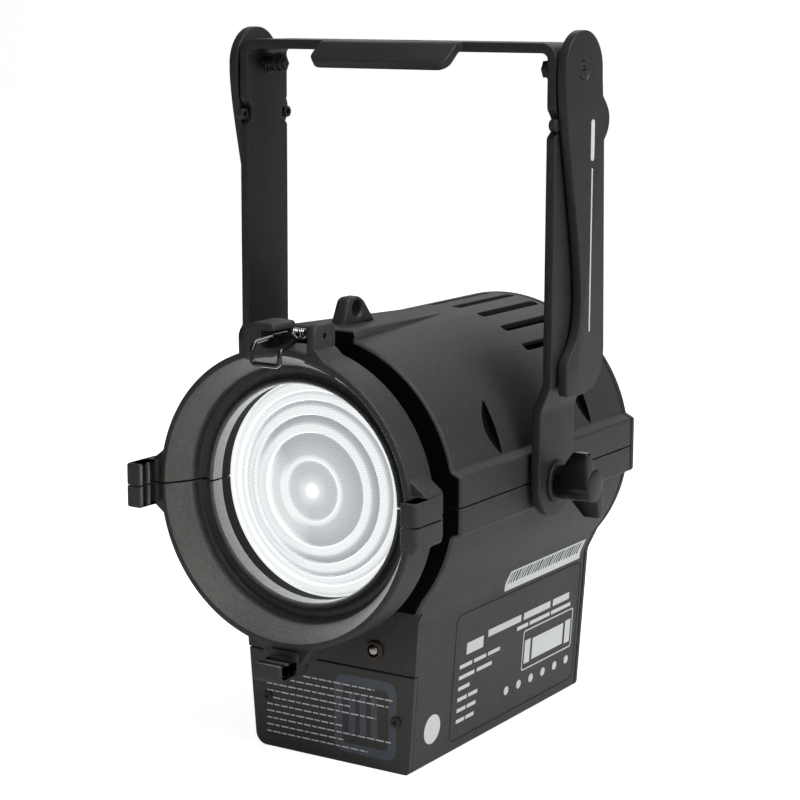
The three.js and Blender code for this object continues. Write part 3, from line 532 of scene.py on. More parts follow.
def powder_coat(name, color, pale, rough, grain_mm, strength, edge_highlight_gain=2.2, flecks=0.0):
    """Textured black coating with cloudy tone, painted highlights along its edges and a few small bright flecks."""
    s = Shader(name)
    soft = s.rounded_normal(0.55)
    grain = s.noise(grain_mm, detail=2.0, roughness=0.6)
    clouds = s.noise(26, detail=4.0)
    mottle = s.noise(2.6, detail=4.0, roughness=0.7)
    tone = s.mix(s.range(clouds, -0.1, 1.0), color, tuple(c * 1.35 for c in color))
    tone = s.vector("MULTIPLY", tone, s.mix(mottle, (0.55, 0.55, 0.55), (1.45, 1.45, 1.45)))
    speck = s.ramp(s.noise(grain_mm * 0.7, detail=1.0), [(0.0, 0.0), (0.62, 0.0), (0.8, 1.0)])
    tone = s.mix(s.math("MULTIPLY", speck, 0.35), tone, pale)
    if flecks:
        spots = s.ramp(s.cells(5.5), [(0.0, 1.0), (0.035, 1.0), (0.06, 0.0)])
        tone = s.mix(s.math("MULTIPLY", spots, flecks), tone, (0.32, 0.31, 0.29))
    # painted highlight: edges mixed towards the pale tone
    tone = s.mix(s.edges(soft, edge_highlight_gain), tone, pale)
    rub = s.range(clouds, rough - 0.07, rough + 0.08)
    normal = s.bump(s.math("ADD", grain, mottle), strength, 0.2, soft)
    return s.finish(tone, rub, normal, Specular_IOR_Level=0.5)


def moulded(name, color, rough, grain_mm=0.5, strength=0.12, coat=0.0, specular=0.5):
    """Moulded plastic with a fine grain and faint handling marks."""
    s = Shader(name)
    soft = s.rounded_normal(0.4)
    marks = s.noise(7, detail=6.0, roughness=0.7, stretch=(1, 0.3, 1))
    tone = s.mix(marks, color, tuple(c * 1.6 + 0.001 for c in color))
    normal = s.bump(s.noise(grain_mm), strength, 0.08, soft)
    rub = s.range(marks, rough - 0.06, rough + 0.12)
    return s.finish(tone, rub, normal, Coat_Weight=coat, Specular_IOR_Level=specular)


def metal(name, color, rough, stretch=(1, 1, 1), scratch_mm=0.6):
    """Bare or plated metal with fine drawn scratches."""
    s = Shader(name)
    soft = s.rounded_normal(0.25)
    lines = s.noise(scratch_mm, detail=5.0, roughness=0.7, stretch=stretch)
    dull = s.noise(9, detail=3.0)
    tone = s.mix(dull, tuple(c * 0.72 for c in color), color)
    normal = s.bump(lines, 0.12, 0.04, soft)
    rub = s.math("ADD", s.range(lines, rough - 0.06, rough + 0.1), s.range(dull, -0.04, 0.06))
    return s.finish(tone, rub, normal, Metallic=1.0)


LENS_TINT = (1.0, 1.015, 1.015)
DIMPLE_SPACING = 1.25
# (inner edge, outer edge, start of the dim part, tone just after it, tone at the outer edge) of each facet, in mm
FACET_TONES = (
    (12.7, 24.0, 13.9, 0.62, 0.43), (24.0, 31.3, 27.1, 0.52, 0.31), (31.3, 37.2, 34.5, 0.5, 0.35),
    (37.2, 41.0, 39.3, 0.56, 0.58), (41.0, 45.2, 44.0, 0.62, 0.62),
)
LIT_TONES = (
    (0, 1.0), (1.5, 0.9), (3.8, 0.76), (8, 0.64), (11, 0.66), (12, 0.78), (12.8, 0.95), (16, 0.96), (17, 0.76), (21, 0.8),
    (21.8, 0.96), (23.8, 0.96), (24.5, 0.82), (28, 0.92), (31, 0.65), (33.5, 0.95), (35, 0.76), (37, 0.7),
    (38.5, 0.94), (40.5, 0.8), (42, 0.95), (47.2, 0.95),
)


def shaded_tones():
    """Tones from the middle of the lens to its rim where the facets look away from the light."""
    stops = [(0, 1.0), (1.5, 0.9), (3.6, 0.7), (7, 0.6), (11.5, 0.57), (12.5, 0.72)]
    for inner, outer, dim, after, last in FACET_TONES:
        stops += [(inner + 0.2, 0.94), (dim, 0.92), (dim + 1.4, after), (outer - 0.15, last)]
    return stops + [(45.4, 0.9), (LENS_RADIUS, 0.9)]


def lens_glow():
    """Stepped lens lit from behind: white rings, greyer bands on one side, fine ordered dimples, a hot middle."""
    s = Shader("lens_glass")
    split = s.node("ShaderNodeSeparateXYZ")
    s.feed(split.inputs[0], s.vector("SUBTRACT", s.place, tuple(ORIGIN)))
    flat = s.node("ShaderNodeCombineXYZ")
    s.feed(flat.inputs["X"], split.outputs["X"])
    s.feed(flat.inputs["Z"], split.outputs["Z"])
    radius = s.math("DIVIDE", s.vector("LENGTH", flat.outputs[0]), LENS_RADIUS * MM)
    shaded, lit = [
        s.ramp(radius, [(r / LENS_RADIUS, tone) for r, tone in stops]) for stops in (shaded_tones(), LIT_TONES)
    ]
    toward = s.vector("DOT_PRODUCT", s.vector("NORMALIZE", flat.outputs[0]), (-0.94, 0, -0.34))
    tone = s.mix(s.ramp(toward, [(0.0, 0.0), (0.42, 0.0), (0.86, 1.0)]), shaded, lit)
    light = s.vector("MULTIPLY", tone, s.mix(tone, (0.93, 0.985, 1.02), (1.0, 1.0, 1.0)))
    dimples = dimple_pattern(s, flat.outputs[0])
    core = s.ramp(radius, [(0.0, 0.6), (0.03, 0.45), (0.085, 0.08), (0.17, 0.0)])
    light = s.vector("MULTIPLY", light, s.mix(dimples, (0.84, 0.85, 0.86), (1.06, 1.06, 1.06)))
    light = s.vector("ADD", s.vector("MULTIPLY", light, LENS_TINT), core)
    seen = s.node("ShaderNodeLightPath").outputs["Is Camera Ray"]
    facing = s.vector("DOT_PRODUCT", s.node("ShaderNodeNewGeometry").outputs["True Normal"], (0, -4, 0))
    strength = s.math("MULTIPLY", s.range(seen, LENS_THROW, 1.0), s.math("ADD", facing, 0.0, clamp=True))
    normal = s.bump(dimples, 0.35, 0.2)
    return s.finish((0.05, 0.055, 0.058), 0.14, normal, Emission_Color=light, Emission_Strength=strength)


LENS_THROW = 5.5


def dimple_pattern(s, flat):
    """0 to 1 over close-packed dimples: three crossed waves."""
    total = None
    for degrees in (90, 210, 330):
        turn = math.radians(degrees)
        along = s.vector("DOT_PRODUCT", flat, (math.cos(turn), 0, math.sin(turn)))
        wave = s.math("COSINE", s.math("MULTIPLY", along, 4 * math.pi / (math.sqrt(3) * DIMPLE_SPACING * MM)))
        total = wave if total is None else s.math("ADD", total, wave)
    return s.math("MULTIPLY_ADD", total, 1 / 4.5, 1 / 3, clamp=True)


def circuit_board():
    """Green solder mask with paler copper tracks."""
    s = Shader("circuit_board")
    tracks = s.ramp(s.cells(3.2, "DISTANCE_TO_EDGE"), [(0.0, 1.0), (0.05, 1.0), (0.07, 0.0)])
    tone = s.mix(tracks, (0.012, 0.085, 0.03), (0.05, 0.2, 0.08))
    return s.finish(tone, s.range(tracks, 0.32, 0.45), s.bump(tracks, 0.3, 0.1), Coat_Weight=0.4)


def phosphor():
    s = Shader("led_phosphor")
    grain = s.noise(0.4)
    tone = s.mix(grain, (0.9, 0.72, 0.2), (1.0, 0.86, 0.4))
    return s.finish(tone, s.range(grain, 0.4, 0.6), Emission_Color=(1.0, 0.96, 0.85), Emission_Strength=4.0)


def shrink_wrap():
    s = Shader("shrink_wrap")
    folds = s.noise(11, detail=5.0, stretch=(1, 0.2, 1))
    tone = s.mix(folds, (0.02, 0.06, 0.2), (0.04, 0.12, 0.32))
    return s.finish(tone, s.range(folds, 0.2, 0.4), s.bump(folds, 0.4, 0.6), Coat_Weight=0.3)


def smoked_window():
    """Dark display window with faint even segments glowing behind it."""
    s = Shader("display_window")
    scan = s.node("ShaderNodeTexWave", bands_direction="Z")
    s.feed(scan.inputs["Vector"], s.place)
    scan.inputs["Scale"].default_value = 1 / (1.4 * MM)
    tone = s.mix(scan.outputs["Fac"], (0.004, 0.006, 0.008), (0.012, 0.02, 0.028))
    return s.finish(tone, s.range(s.noise(12), 0.04, 0.12), Coat_Weight=1.0)


def print_ink(name, color, rough=0.5):
    """Printed or stuck-on mark, slightly uneven."""
    s = Shader(name)
    wear = s.noise(2.2, detail=5.0, roughness=0.7)
    tone = s.mix(s.range(wear, 0.0, 0.9), color, tuple(c * 0.8 for c in color))
    return s.finish(tone, s.range(wear, rough - 0.1, rough + 0.1), s.bump(s.noise(0.6), 0.1, 0.05))


CAST = powder_coat("cast_black", (0.029, 0.0285, 0.026), (0.12, 0.12, 0.112), 0.5, 1.1, 0.9, flecks=0.5)
# paler than the casting: painted light where the lens lights the funnel, over the coat's own texture
PAINTED_LIT_CONE = powder_coat("cone_painted_light", (0.052, 0.055, 0.047), (0.14, 0.145, 0.13), 0.46, 0.8, 0.7, flecks=0.3)
STEEL = powder_coat("steel_black", (0.021, 0.021, 0.0205), (0.10, 0.10, 0.097), 0.45, 0.7, 0.4, edge_highlight_gain=1.2)
EYELET = moulded("eyelet_black", (0.020, 0.020, 0.019), 0.5, 0.7, 0.3)
GLOSS = moulded("gloss_black", (0.0012, 0.0012, 0.0014), 0.16, 3.0, 0.05, specular=0.4)
MATT = moulded("matt_black", (0.014, 0.014, 0.014), 0.52, 0.5, 0.25)
# near-black, almost unreflecting painted shade for the neck gap, the tunnel wall and the gill hollows
PAINTED_SHADE = moulded("painted_shade_black", (0.0015, 0.0015, 0.0015), 0.9, 0.9, 0.2, specular=0.08)
RUBBER = moulded("rubber_black", (0.012, 0.012, 0.012), 0.78, 0.9, 0.4)
SPRING = metal("spring_steel", (0.10, 0.098, 0.095), 0.1)
BRIGHT_SPRING = metal("bright_spring", (0.66, 0.64, 0.62), 0.18)
ZINC = metal("zinc_plate", (0.56, 0.53, 0.49), 0.3)
ALUMINIUM = metal("milled_aluminium", (0.60, 0.60, 0.61), 0.34, stretch=(1, 8, 1))
NICKEL = metal("indicator_nickel", (0.62, 0.55, 0.48), 0.28)
BEZEL = moulded("bezel_brown", (0.030, 0.018, 0.014), 0.35)
BOARD = circuit_board()
PHOSPHOR = phosphor()
WRAP = shrink_wrap()
WINDOW = smoked_window()
LENS = lens_glow()
WHITE_INK = print_ink("white_ink", (0.86, 0.87, 0.87))
GREY_INK = print_ink("grey_ink", (0.10, 0.115, 0.14))
STICKER = print_ink("sticker_white", (0.86, 0.9, 0.89), 0.4)
BAR_INK = print_ink("bar_ink", (0.03, 0.033, 0.04))
LABEL = moulded("label_black", (0.032, 0.031, 0.0285), 0.42, 0.8, 0.14)

# ------------------------------------------------------------------ housing castings

ABOVE = (-90, 90, -30, 200, SEAM / 2, 90)
BELOW = (-90, 90, -30, 200, -130, -SEAM / 2)


def dome_outline(wall=0, foot=-6):
    """Round top of the body with its ledge, carried a little below the seam; wall draws the hollow inside it."""
    radius, half, top = BODY_RADIUS - wall, FLANGE_HALF - wall, FLANGE_TOP - wall
    ledge = math.degrees(math.asin((top + 2) / radius))
    dome = arc(0, 0, radius, ledge, 180 - ledge, 72)
    outer, inner = (0.3, 0.3) if wall else (1.6, 1.4)
    return rounded(
        [(-half, foot), (half, foot), (half, top, outer), (*dome[0], inner)] + dome[2:-2]
        + [(*dome[-1], inner), (-half, top, outer)]
    )


def box_outline(wall=0, top=6):
    """Round underside, shoulder and battery box, carried a little above the seam."""
    radius, half, ledge_z = BODY_RADIUS - wall, FLANGE_HALF - wall, FLANGE_BOTTOM + wall
    ledge = math.degrees(math.asin((ledge_z - 1.5) / radius))
    under = arc(0, 0, radius, SHOULDER_ANGLE, ledge, 16)
    outer, inner, corner, left_corner = (0.3, 0.3, 0.3, 2.5) if wall else (1.6, 1.4, 2.2, 5.5)
    right = [(BOX_FOOT_HALF - wall, FLOOR_Z + wall, corner), (BOX_TOP_HALF - wall, BOX_TOP_Z, 9)]
    right += under[1:-2] + [(*under[-1], inner), (half, ledge_z, outer), (half, top)]
    outline = mirrored(right)
    outline[-2:] = [(wall - BOX_LEFT_TOP, BOX_TOP_Z, 9), (wall - BOX_LEFT_FOOT, FLOOR_Z + wall, left_corner)]
    return rounded(outline)


# the tunnel wall steps out here, and its painted shade starts here
TUNNEL_SHADE_Y = 21.4


def front_ring():
    """Rim, deep funnel, dark groove, bright lip, lens tunnel and neck."""
    seat = LENS_RIM_Y - 0.52
    profile = rounded([
        (RING_RADIUS, 0, 1.1), (59.4, 0, 0.6), (53.9, 10.4, 5), (53.1, 15.2, 1.0), (51.6, 17.2, 0.8),
        (49.6, 17.2, 0.8), (48.3, 16, 0.7), (47.7, 14.6, 0.7), (46.6, 14.2, 0.6), (TUNNEL_RADIUS, 15.4, 0.8),
        (TUNNEL_RADIUS, TUNNEL_SHADE_Y), (TUNNEL_RADIUS + 0.4, TUNNEL_SHADE_Y + 0.3), (TUNNEL_RADIUS + 0.4, seat), (LENS_RADIUS + 0.8, seat), (LENS_RADIUS + 0.8, BODY_FRONT + WALL),
        (NECK_RADIUS, BODY_FRONT + WALL), (NECK_RADIUS, RING_DEPTH, 1.2), (RING_RADIUS, RING_DEPTH, 1.5),
    ])
    return lathe(profile, 192)


def accessory_clip(half_height):
    """Block on the +X side with two slots for gel frames."""
    lip, slot = 63.7, 68.9
    outline = rounded([
        (60.5, 10), (60.5, 1), (lip, 1, 0.4), (lip, 0, 0.4), (slot, 0, 0.6), (slot, -3.4, 0.6),
        (lip, -3.4, 1.0), (lip, -5.8, 1.0), (slot, -5.8, 0.6), (slot, -8.3, 0.6), (lip, -8.3, 0.9),
        (lip, CLIP_FRONT, 0.7), (CLIP_REACH, CLIP_FRONT, 2.0), (CLIP_REACH, 10, 3),
    ])
    return prism(outline, "z", -half_height, half_height, 0.95, steps=4)


def clip_root(half_height):
    """Web that spreads from the ring into a clip."""
    outline = rounded([
        (57, -half_height - 9), (61.2, -half_height - 5, 4), (67.5, -half_height - 0.2, 3),
        (67.5, half_height + 0.2, 3), (61.2, half_height + 5, 4), (57, half_height + 9),
    ])
    web = prism(outline, "y", 2.2, RING_DEPTH - 3, 0.9)
    return cut(web, cylinder(58.6, "y", 0, RING_DEPTH, segments=96))


def side_clips():
    parts = []
    for _, side in SIDES:
        parts += [flipped(accessory_clip(9.3), side), flipped(clip_root(9.3), side)]
    return parts


def bottom_clip():
    drop = Matrix.Translation((0, 0, -BOTTOM_CLIP_DROP))
    return [moved(turned(part, "Y", 90), drop) for part in (accessory_clip(6.8), clip_root(6.8))]


def bail_clevis():
    """Hooded block and ear on top of the ring."""
    hood = prism(rounded([(-17.6, 56), (-3.0, 56), (-3.0, 71.6, 1.8), (-13.6, 71.9, 5), (-17.6, 69.4, 3)]),
                 "y", 0, 16, 1.1, steps=4)
    ear = prism(rounded([(0.5, 56), (16, 56), (16, 72.4, 3.2), (0.5, 72.4, 3.2)]), "x", 12.4, 16.2, 0.9)
    root = prism(rounded([(9, 52), (26, 52), (21, 58.5, 3), (16, 63.5, 3), (13.4, 62, 0)]), "y", 0.4, 15.6, 0.7)
    mouth = box(-9.4, 4, -1, 12.6, 61.6, 68.8, 0.8)
    pin_hole = cylinder(1.4, "x", -10.4, 17, (BAIL_Y, BAIL_Z), segments=20)
    funnel = cylinder(58.4, "y", -1, 12, segments=96)
    return cut(join(hood, ear, root), mouth, pin_hole, funnel)


def raised_panel():
    """Flat panel on the dome that sinks into it towards the back."""

    def ring(y, half_top, half_foot, top):
        corners = [(-half_foot, 55), (half_foot, 55), (half_foot, top - 2.6, 0.8), (half_top, top, 1.2),
                   (-half_top, top, 1.2), (-half_foot, top - 2.6, 0.8)]
        return [(x, y, z) for x, z in rounded(corners, 4)]

    return skin([
        ring(BODY_FRONT, 15.4, 16.4, 66.4), ring(BODY_FRONT + 0.4, 16.0, 17.1, 67.0),
        ring(BODY_FRONT + 1.3, 16.2, 17.4, 67.3), ring(106, 10.5, 11.5, 64.9),
    ])


def vent_slots():
    slots = []
    for i in range(8):
        outline = rounded(rectangle(-2.2, 2.2, 124.5, 175.5, 1.9), 8)
        slots.append(turned(prism(outline, "z", 50, 75, 0), "Y", (i - 3.5) * 11.4))
    return slots


GILL_REARS = (68.6, 147.8)
GILL_REACH = 9.2


def gill_scoops():
    """Pointed scoops in the sides of the dome: a soft slope ends in a steep rear wall."""
    scoops = []
    first, last, depth, steps = 55.6, 77.2, 2.75, 24
    reach = GILL_REACH
    for _, side in SIDES:
        for rear in GILL_REARS:
            rings = []
            for i in range(steps + 1):
                swell = max(0.03, math.sin(math.pi * i / steps)) ** 0.75
                angle = math.radians(side * (first + (last - first) * i / steps))
                section = (
                    (BODY_RADIUS + 1.5, rear), (BODY_RADIUS + 1.5, rear - reach * swell * 1.15),
                    (BODY_RADIUS - depth * swell * 0.6, rear - reach * swell * 0.72),
                    (BODY_RADIUS - depth * swell, rear - 0.6 * swell),
                )
                rings.append([(r * math.sin(angle), y, r * math.cos(angle)) for r, y in section])
            scoops.append(skin(rings))
    return scoops


def bush_hole():
    return cylinder(8.3, "x", -75, 75, (TRUNNION.y, TRUNNION.z))


def lens_bore():
    return cylinder(LENS_RADIUS + 0.8, "y", BODY_FRONT - 1, BOX_FRONT + WALL + 1, segments=96)


def upper_casting():
    body = join(prism(dome_outline(), "y", BODY_FRONT, BODY_REAR, 1.7, 0.5, 5), raised_panel())
    hollow = prism(dome_outline(WALL, -7), "y", BODY_FRONT + WALL, BODY_REAR + 1, 0)
    body = cut(body, hollow, lens_bore(), *vent_slots(), *gill_scoops(), bush_hole())
    front = join(front_ring(), *side_clips(), bail_clevis())
    return common(join(body, front), box(*ABOVE))


def lower_casting():
    body = prism(box_outline(), "y", BODY_FRONT, BODY_REAR, 1.7, 0.5, 5)
    step = box(-90, 90, BODY_FRONT - 3, BOX_FRONT, -130, -47, 0.1)
    hollow = prism(box_outline(WALL, 7), "y", BOX_FRONT + WALL, BODY_REAR + 1, 0)
    pocket = box(-90, 90, BOX_FRONT - 1, BOX_FRONT + DOOR + 0.3, FLOOR_Z - 5, DOOR_TOP + 0.45)
    eye = cylinder(3.4, "y", BOX_FRONT - 1, BOX_FRONT + WALL + 1, (INDICATOR.x, INDICATOR.z))
    body = cut(body, step, hollow, lens_bore(), pocket, eye, bush_hole())
    front = join(front_ring(), *side_clips(), *bottom_clip())
    return common(join(body, front), box(*BELOW))


def side_x(z):
    """Half width of the battery box at a height, on its right."""
    share = (BOX_TOP_Z - z) / (BOX_TOP_Z - FLOOR_Z)
    return BOX_TOP_HALF + (BOX_FOOT_HALF - BOX_TOP_HALF) * share


def door_outline():
    """Battery door: the whole front of the box below its seam."""
    share = (DOOR_TOP - BOX_TOP_Z) / (FLOOR_Z - BOX_TOP_Z)
    left = BOX_LEFT_TOP + (BOX_LEFT_FOOT - BOX_LEFT_TOP) * share
    return rounded([
        (-BOX_LEFT_FOOT, FLOOR_Z, 5.5), (BOX_FOOT_HALF, FLOOR_Z, 2.2), (side_x(DOOR_TOP), DOOR_TOP, 0.5),
        (-left, DOOR_TOP, 0.5),
    ])


# ------------------------------------------------------------------ housing fittings


def eyelet():
    """Tapered lug on the raised panel for the safety cable."""
    low, high = local_box("safety_eyelet")
    side = rounded([
        (low.y, low.z - 1), (low.y + 4.2, high.z - 1, 3), (low.y + 6.6, high.z, 2.5), (high.y - 11, high.z, 4),
        (high.y - 7.6, high.z - 2, 3), (high.y, low.z - 1),
    ])
    lug = prism(side, "x", low.x, high.x, 1.3, steps=4)
    for vert in lug.verts:
        vert.co.x *= 1.0 + 0.16 * (high.z - vert.co.z) / (high.z - low.z)
    eye = (49.6, 72.6)
    lug = cut(lug, cylinder(3.4, "x", -9, 9, eye), *[flare(eye, side) for _, side in SIDES])
    return moved(lug, Matrix.Translation((0, 1.6, 0)))


def flare(eye, side):
    """Cone that opens the mouth of the eyelet."""
    rings = []
    for x, radius in ((2.2, 3.2), (4.6, 5.4)):
        rings.append([(side * x, a, b) for a, b in arc(*eye, radius, 0, 350, 35)])
    return skin(rings)


def battery_cover():
    plate = prism(door_outline(), "y", BOX_FRONT, BOX_FRONT + DOOR, 0.6, 0.2)
    places = (BOX_FOOT_HALF - BOX_LEFT_FOOT - 34.7, 34.7)
    holes = [cylinder(1.8, "y", BOX_FRONT - 1, 36, (x, -96), segments=24) for x in places]
    return cut(plate, *holes)


def cross_recess(axis, s0, s1, centre, width, length):
    """Cutter for a cross slot in a screw head."""
    a, b = centre
    place = AXIS_ORDER[axis]
    arms = []
    for half_a, half_b in ((length / 2, width / 2), (width / 2, length / 2)):
        rings = []
        for s, scale in ((s0, 0.45), (s1, 1.0)):
            corners = [(-half_a, -half_b), (half_a, -half_b), (half_a, half_b), (-half_a, half_b)]
            rings.append([place(s, a + ca * scale, b + cb * scale) for ca, cb in corners])
        arms.append(skin(rings))
    return arms


def small_screw(node, head_radius, head_height, shank_radius):
    """Pan-head screw along y, head towards its closer open side; moved in where the left wall is nearer."""
    low, high = local_box(node)
    centre = middle(node)
    if centre.x < 0 and centre.z < BOX_TOP_Z:
        centre.x += BOX_FOOT_HALF - BOX_LEFT_FOOT
    front = high.y < BODY_RADIUS
    face, tip, sign = (low.y, high.y, 1) if front else (high.y, low.y, -1)
    profile = rounded([
        (0, face), (head_radius * 0.7, face + 0.1 * sign, 0.8), (head_radius, face + head_height * sign, 0.3),
        (shank_radius, face + head_height * sign), (shank_radius, tip), (0, tip),
    ], 4)
    screw = lathe(profile, 40, "y", (centre.x, centre.z))
    return cut(screw, *cross_recess("y", face + 0.9 * sign, face - 0.1 * sign, (centre.x, centre.z), 0.7, 3.0))


def indicator_bezel():
    profile = rounded([(2.8, 31.0), (3.9, 31.0, 0.4), (4.6, 32.3, 0.5), (3.1, 32.3), (3.1, 38), (2.8, 38)], 3)
    return lathe(profile, 48, "y", (INDICATOR.x, INDICATOR.z))


def indicator_lens():
    profile = rounded([(0, 30.4), (1.5, 30.5, 1.0), (2.45, 32, 0.9), (2.45, 37), (0, 37)], 5)
    return lathe(profile, 48, "y", (INDICATOR.x, INDICATOR.z))


def trunnion_bush(side):
    low, high = local_box("trunnion_bush_right")
    profile = rounded([
        (4.2, low.x), (8, low.x), (8, FLANGE_HALF + FIT), (11, FLANGE_HALF + FIT, 0.3), (11, high.x, 0.5),
        (4.2, high.x, 0.2),
    ], 4)
    return flipped(lathe(profile, 64, "x", (TRUNNION.y, TRUNNION.z)), side)


def paint_funnel_light_and_shade(casting):
    """Rougher, paler coat inside the front ring, its paleness painted light for the lens light on the funnel;
    near-black matt painted shade round the neck, on the tunnel wall behind its step and deep in the gills.
    """
    casting.data.materials.append(PAINTED_LIT_CONE)
    casting.data.materials.append(PAINTED_SHADE)
    for face in casting.data.polygons:
        place = (face.center - ORIGIN) / MM
        radius = math.hypot(place.x, place.z)
        outside = NECK_RADIUS - 1 < radius < (RING_RADIUS if place.y < RING_DEPTH + 1 else BODY_RADIUS) - 1.6
        body_front = abs(place.y - BODY_FRONT) < 0.3 and face.normal.y < -0.9
        ring_back = abs(place.y - RING_DEPTH) < 0.3 and face.normal.y > 0.9
        in_gill = any(rear - GILL_REACH < place.y < rear + 0.1 for rear in GILL_REARS)
        scooped = in_gill and BODY_RADIUS - WALL + 0.1 < radius < BODY_RADIUS - 0.3 and place.z > 0
        tunnel_shade = radius < TUNNEL_RADIUS + 0.9 and TUNNEL_SHADE_Y < place.y < BODY_FRONT
        # index 1 paints the funnel paler for the lens light on it; index 2 paints near-black shade where the neck,
        # tunnel and gills lie in shadow
        if radius < 59.3 and place.y < 17.4:
            face.material_index = 1
        elif body_front or ring_back or scooped or tunnel_shade or (outside and RING_DEPTH - 0.3 < place.y < BODY_FRONT + 0.3):
            face.material_index = 2


def build_housing():
    paint_funnel_light_and_shade(piece("upper_casting", upper_casting(), CAST, "upper_shell"))
    paint_funnel_light_and_shade(piece("lower_casting", lower_casting(), CAST, "lower_shell"))
    piece("cable_eyelet", eyelet(), EYELET, "safety_eyelet")
    piece("battery_door", battery_cover(), LABEL, "battery_cover")
    for side, _ in SIDES:
        node = f"cover_screw_{side}"
        piece(f"door_screw_{side}", small_screw(node, 2.9, 0.95, 1.4), STEEL, node)
    piece("lamp_bezel", indicator_bezel(), BEZEL, "indicator_bezel")
    piece("lamp_lens", indicator_lens(), NICKEL, "indicator_lens")
    for name, side in SIDES:
        piece(f"pivot_bush_{name}", trunnion_bush(side), ZINC, f"trunnion_bush_{name}")


# ------------------------------------------------------------------ lens and its seat

FACET_EDGES = (12.7, 24, 31.3, 37.2, 41, 45.3)
LENS_CROWN = LENS_RIM_Y - LENS_CROWN_Y


def lens_face(radius):
    """Distance of the smooth lens front from the rim plane at a radius."""
    return LENS_RIM_Y - LENS_CROWN * (1 - (radius / LENS_RADIUS) ** 2)


def fresnel_lens():
    """Gently domed lens whose front is collapsed into steps."""
    step, crest = 0.9, 0.3
    profile = [(0, LENS_BACK), (0, lens_face(0))]
    profile += [(FACET_EDGES[0] * t / 8, lens_face(FACET_EDGES[0] * t / 8)) for t in range(1, 9)]
    for start, end in zip(FACET_EDGES, FACET_EDGES[1:]):
        for t in range(7):
            share = t / 6
            radius = start + crest + (end - start - crest) * share
            profile.append((radius, lens_face(radius) + step * (share**1.5 - 0.35)))
    profile += [(45.8, LENS_RIM_Y), (LENS_RADIUS, LENS_RIM_Y), (LENS_RADIUS, LENS_BACK)]
    return lathe(profile, 160)


def seat_ring(node, radius=0.4):
    low, high = local_box(node)
    profile = rounded([(44.6, low.y, radius), (high.x, low.y, radius), (high.x, high.y, radius),
                       (44.6, high.y, radius)], 4)
    return lathe(profile, 128)


def build_lens():
    piece("stepped_lens", fresnel_lens(), LENS, "fresnel_lens")
    piece("lens_seal", seat_ring("lens_gasket", 0.6), RUBBER, "lens_gasket")
    piece("lens_clamp", seat_ring("lens_retainer"), STEEL, "lens_retainer")


# ------------------------------------------------------------------ yoke

GRIP_HALF = 34
GRIP_LENGTH = 15.8
GRIP_ANGLE = math.radians(38)
GRIP_BEND = 7.0
NOTCH_DEPTH = 3.8
REAR_PIN_SHIFT = 1.9
YOKE_FRONT = TRUNNION.y - BAR_WIDTH / 2
YOKE_REAR = TRUNNION.y + BAR_WIDTH / 2


def yoke_path():
    """Outer face of the right half of the bar, from the middle of the crossbar to the foot."""
    foot = ARM_OUTER - JOGGLE
    corners = [(0, CROSSBAR_TOP), (ARM_OUTER, CROSSBAR_TOP, 7), (ARM_OUTER, 42, 9), (foot, 31, 9),
               (foot, TRUNNION.z - BAR_WIDTH / 2)]
    path = [Vector(corners[0])]
    for i in range(1, len(corners) - 1):
        before, here, after = (Vector(corners[k][:2]) for k in (i - 1, i, i + 1))
        path.extend(fillet(before, here, after, corners[i][2], 10))
    path.append(Vector(corners[-1]))
    return path


def path_lengths(path):
    lengths = [0.0]
    for a, b in zip(path, path[1:]):
        lengths.append(lengths[-1] + (b - a).length)
    return lengths


def path_normals(path):
    normals = []
    for i in range(len(path)):
        back = (path[i] - path[i - 1]).normalized() if i else Vector((0, 0))
        ahead = (path[i + 1] - path[i]).normalized() if i + 1 < len(path) else Vector((0, 0))
        along = (back + ahead).normalized()
        normals.append(Vector((along.y, -along.x)))
    return normals


def length_at_height(path, lengths, height):
    """Distance along the path where an arm passes a height."""
    for i in range(len(path) - 1, 0, -1):
        low, high = path[i], path[i - 1]
        if low.y <= height <= high.y:
            return lengths[i] - (height - low.y)
    return lengths[-1]


def strip_outline(total, notch):
    """The bar before it is bent: s along it, y across it."""
    right = [(GRIP_HALF, YOKE_FRONT, 1.5), (notch - 6.5, YOKE_FRONT, 4), (notch - 2.2, YOKE_FRONT + NOTCH_DEPTH, 2),
             (notch + 2.2, YOKE_FRONT + NOTCH_DEPTH, 2), (notch + 5, YOKE_FRONT, 2)]
    right += arc(total - BAR_WIDTH / 2, TRUNNION.y, BAR_WIDTH / 2, -90, 90, 40)
    right += [(s, YOKE_REAR + YOKE_FRONT - y, r) for s, y, r in reversed(right[1:5])]
    left = [(-corner[0], *corner[1:]) for corner in reversed(right)]
    lip = [(-GRIP_HALF, YOKE_FRONT - GRIP_LENGTH, 5), (GRIP_HALF, YOKE_FRONT - GRIP_LENGTH, 5)]
    return rounded(lip + right + left)


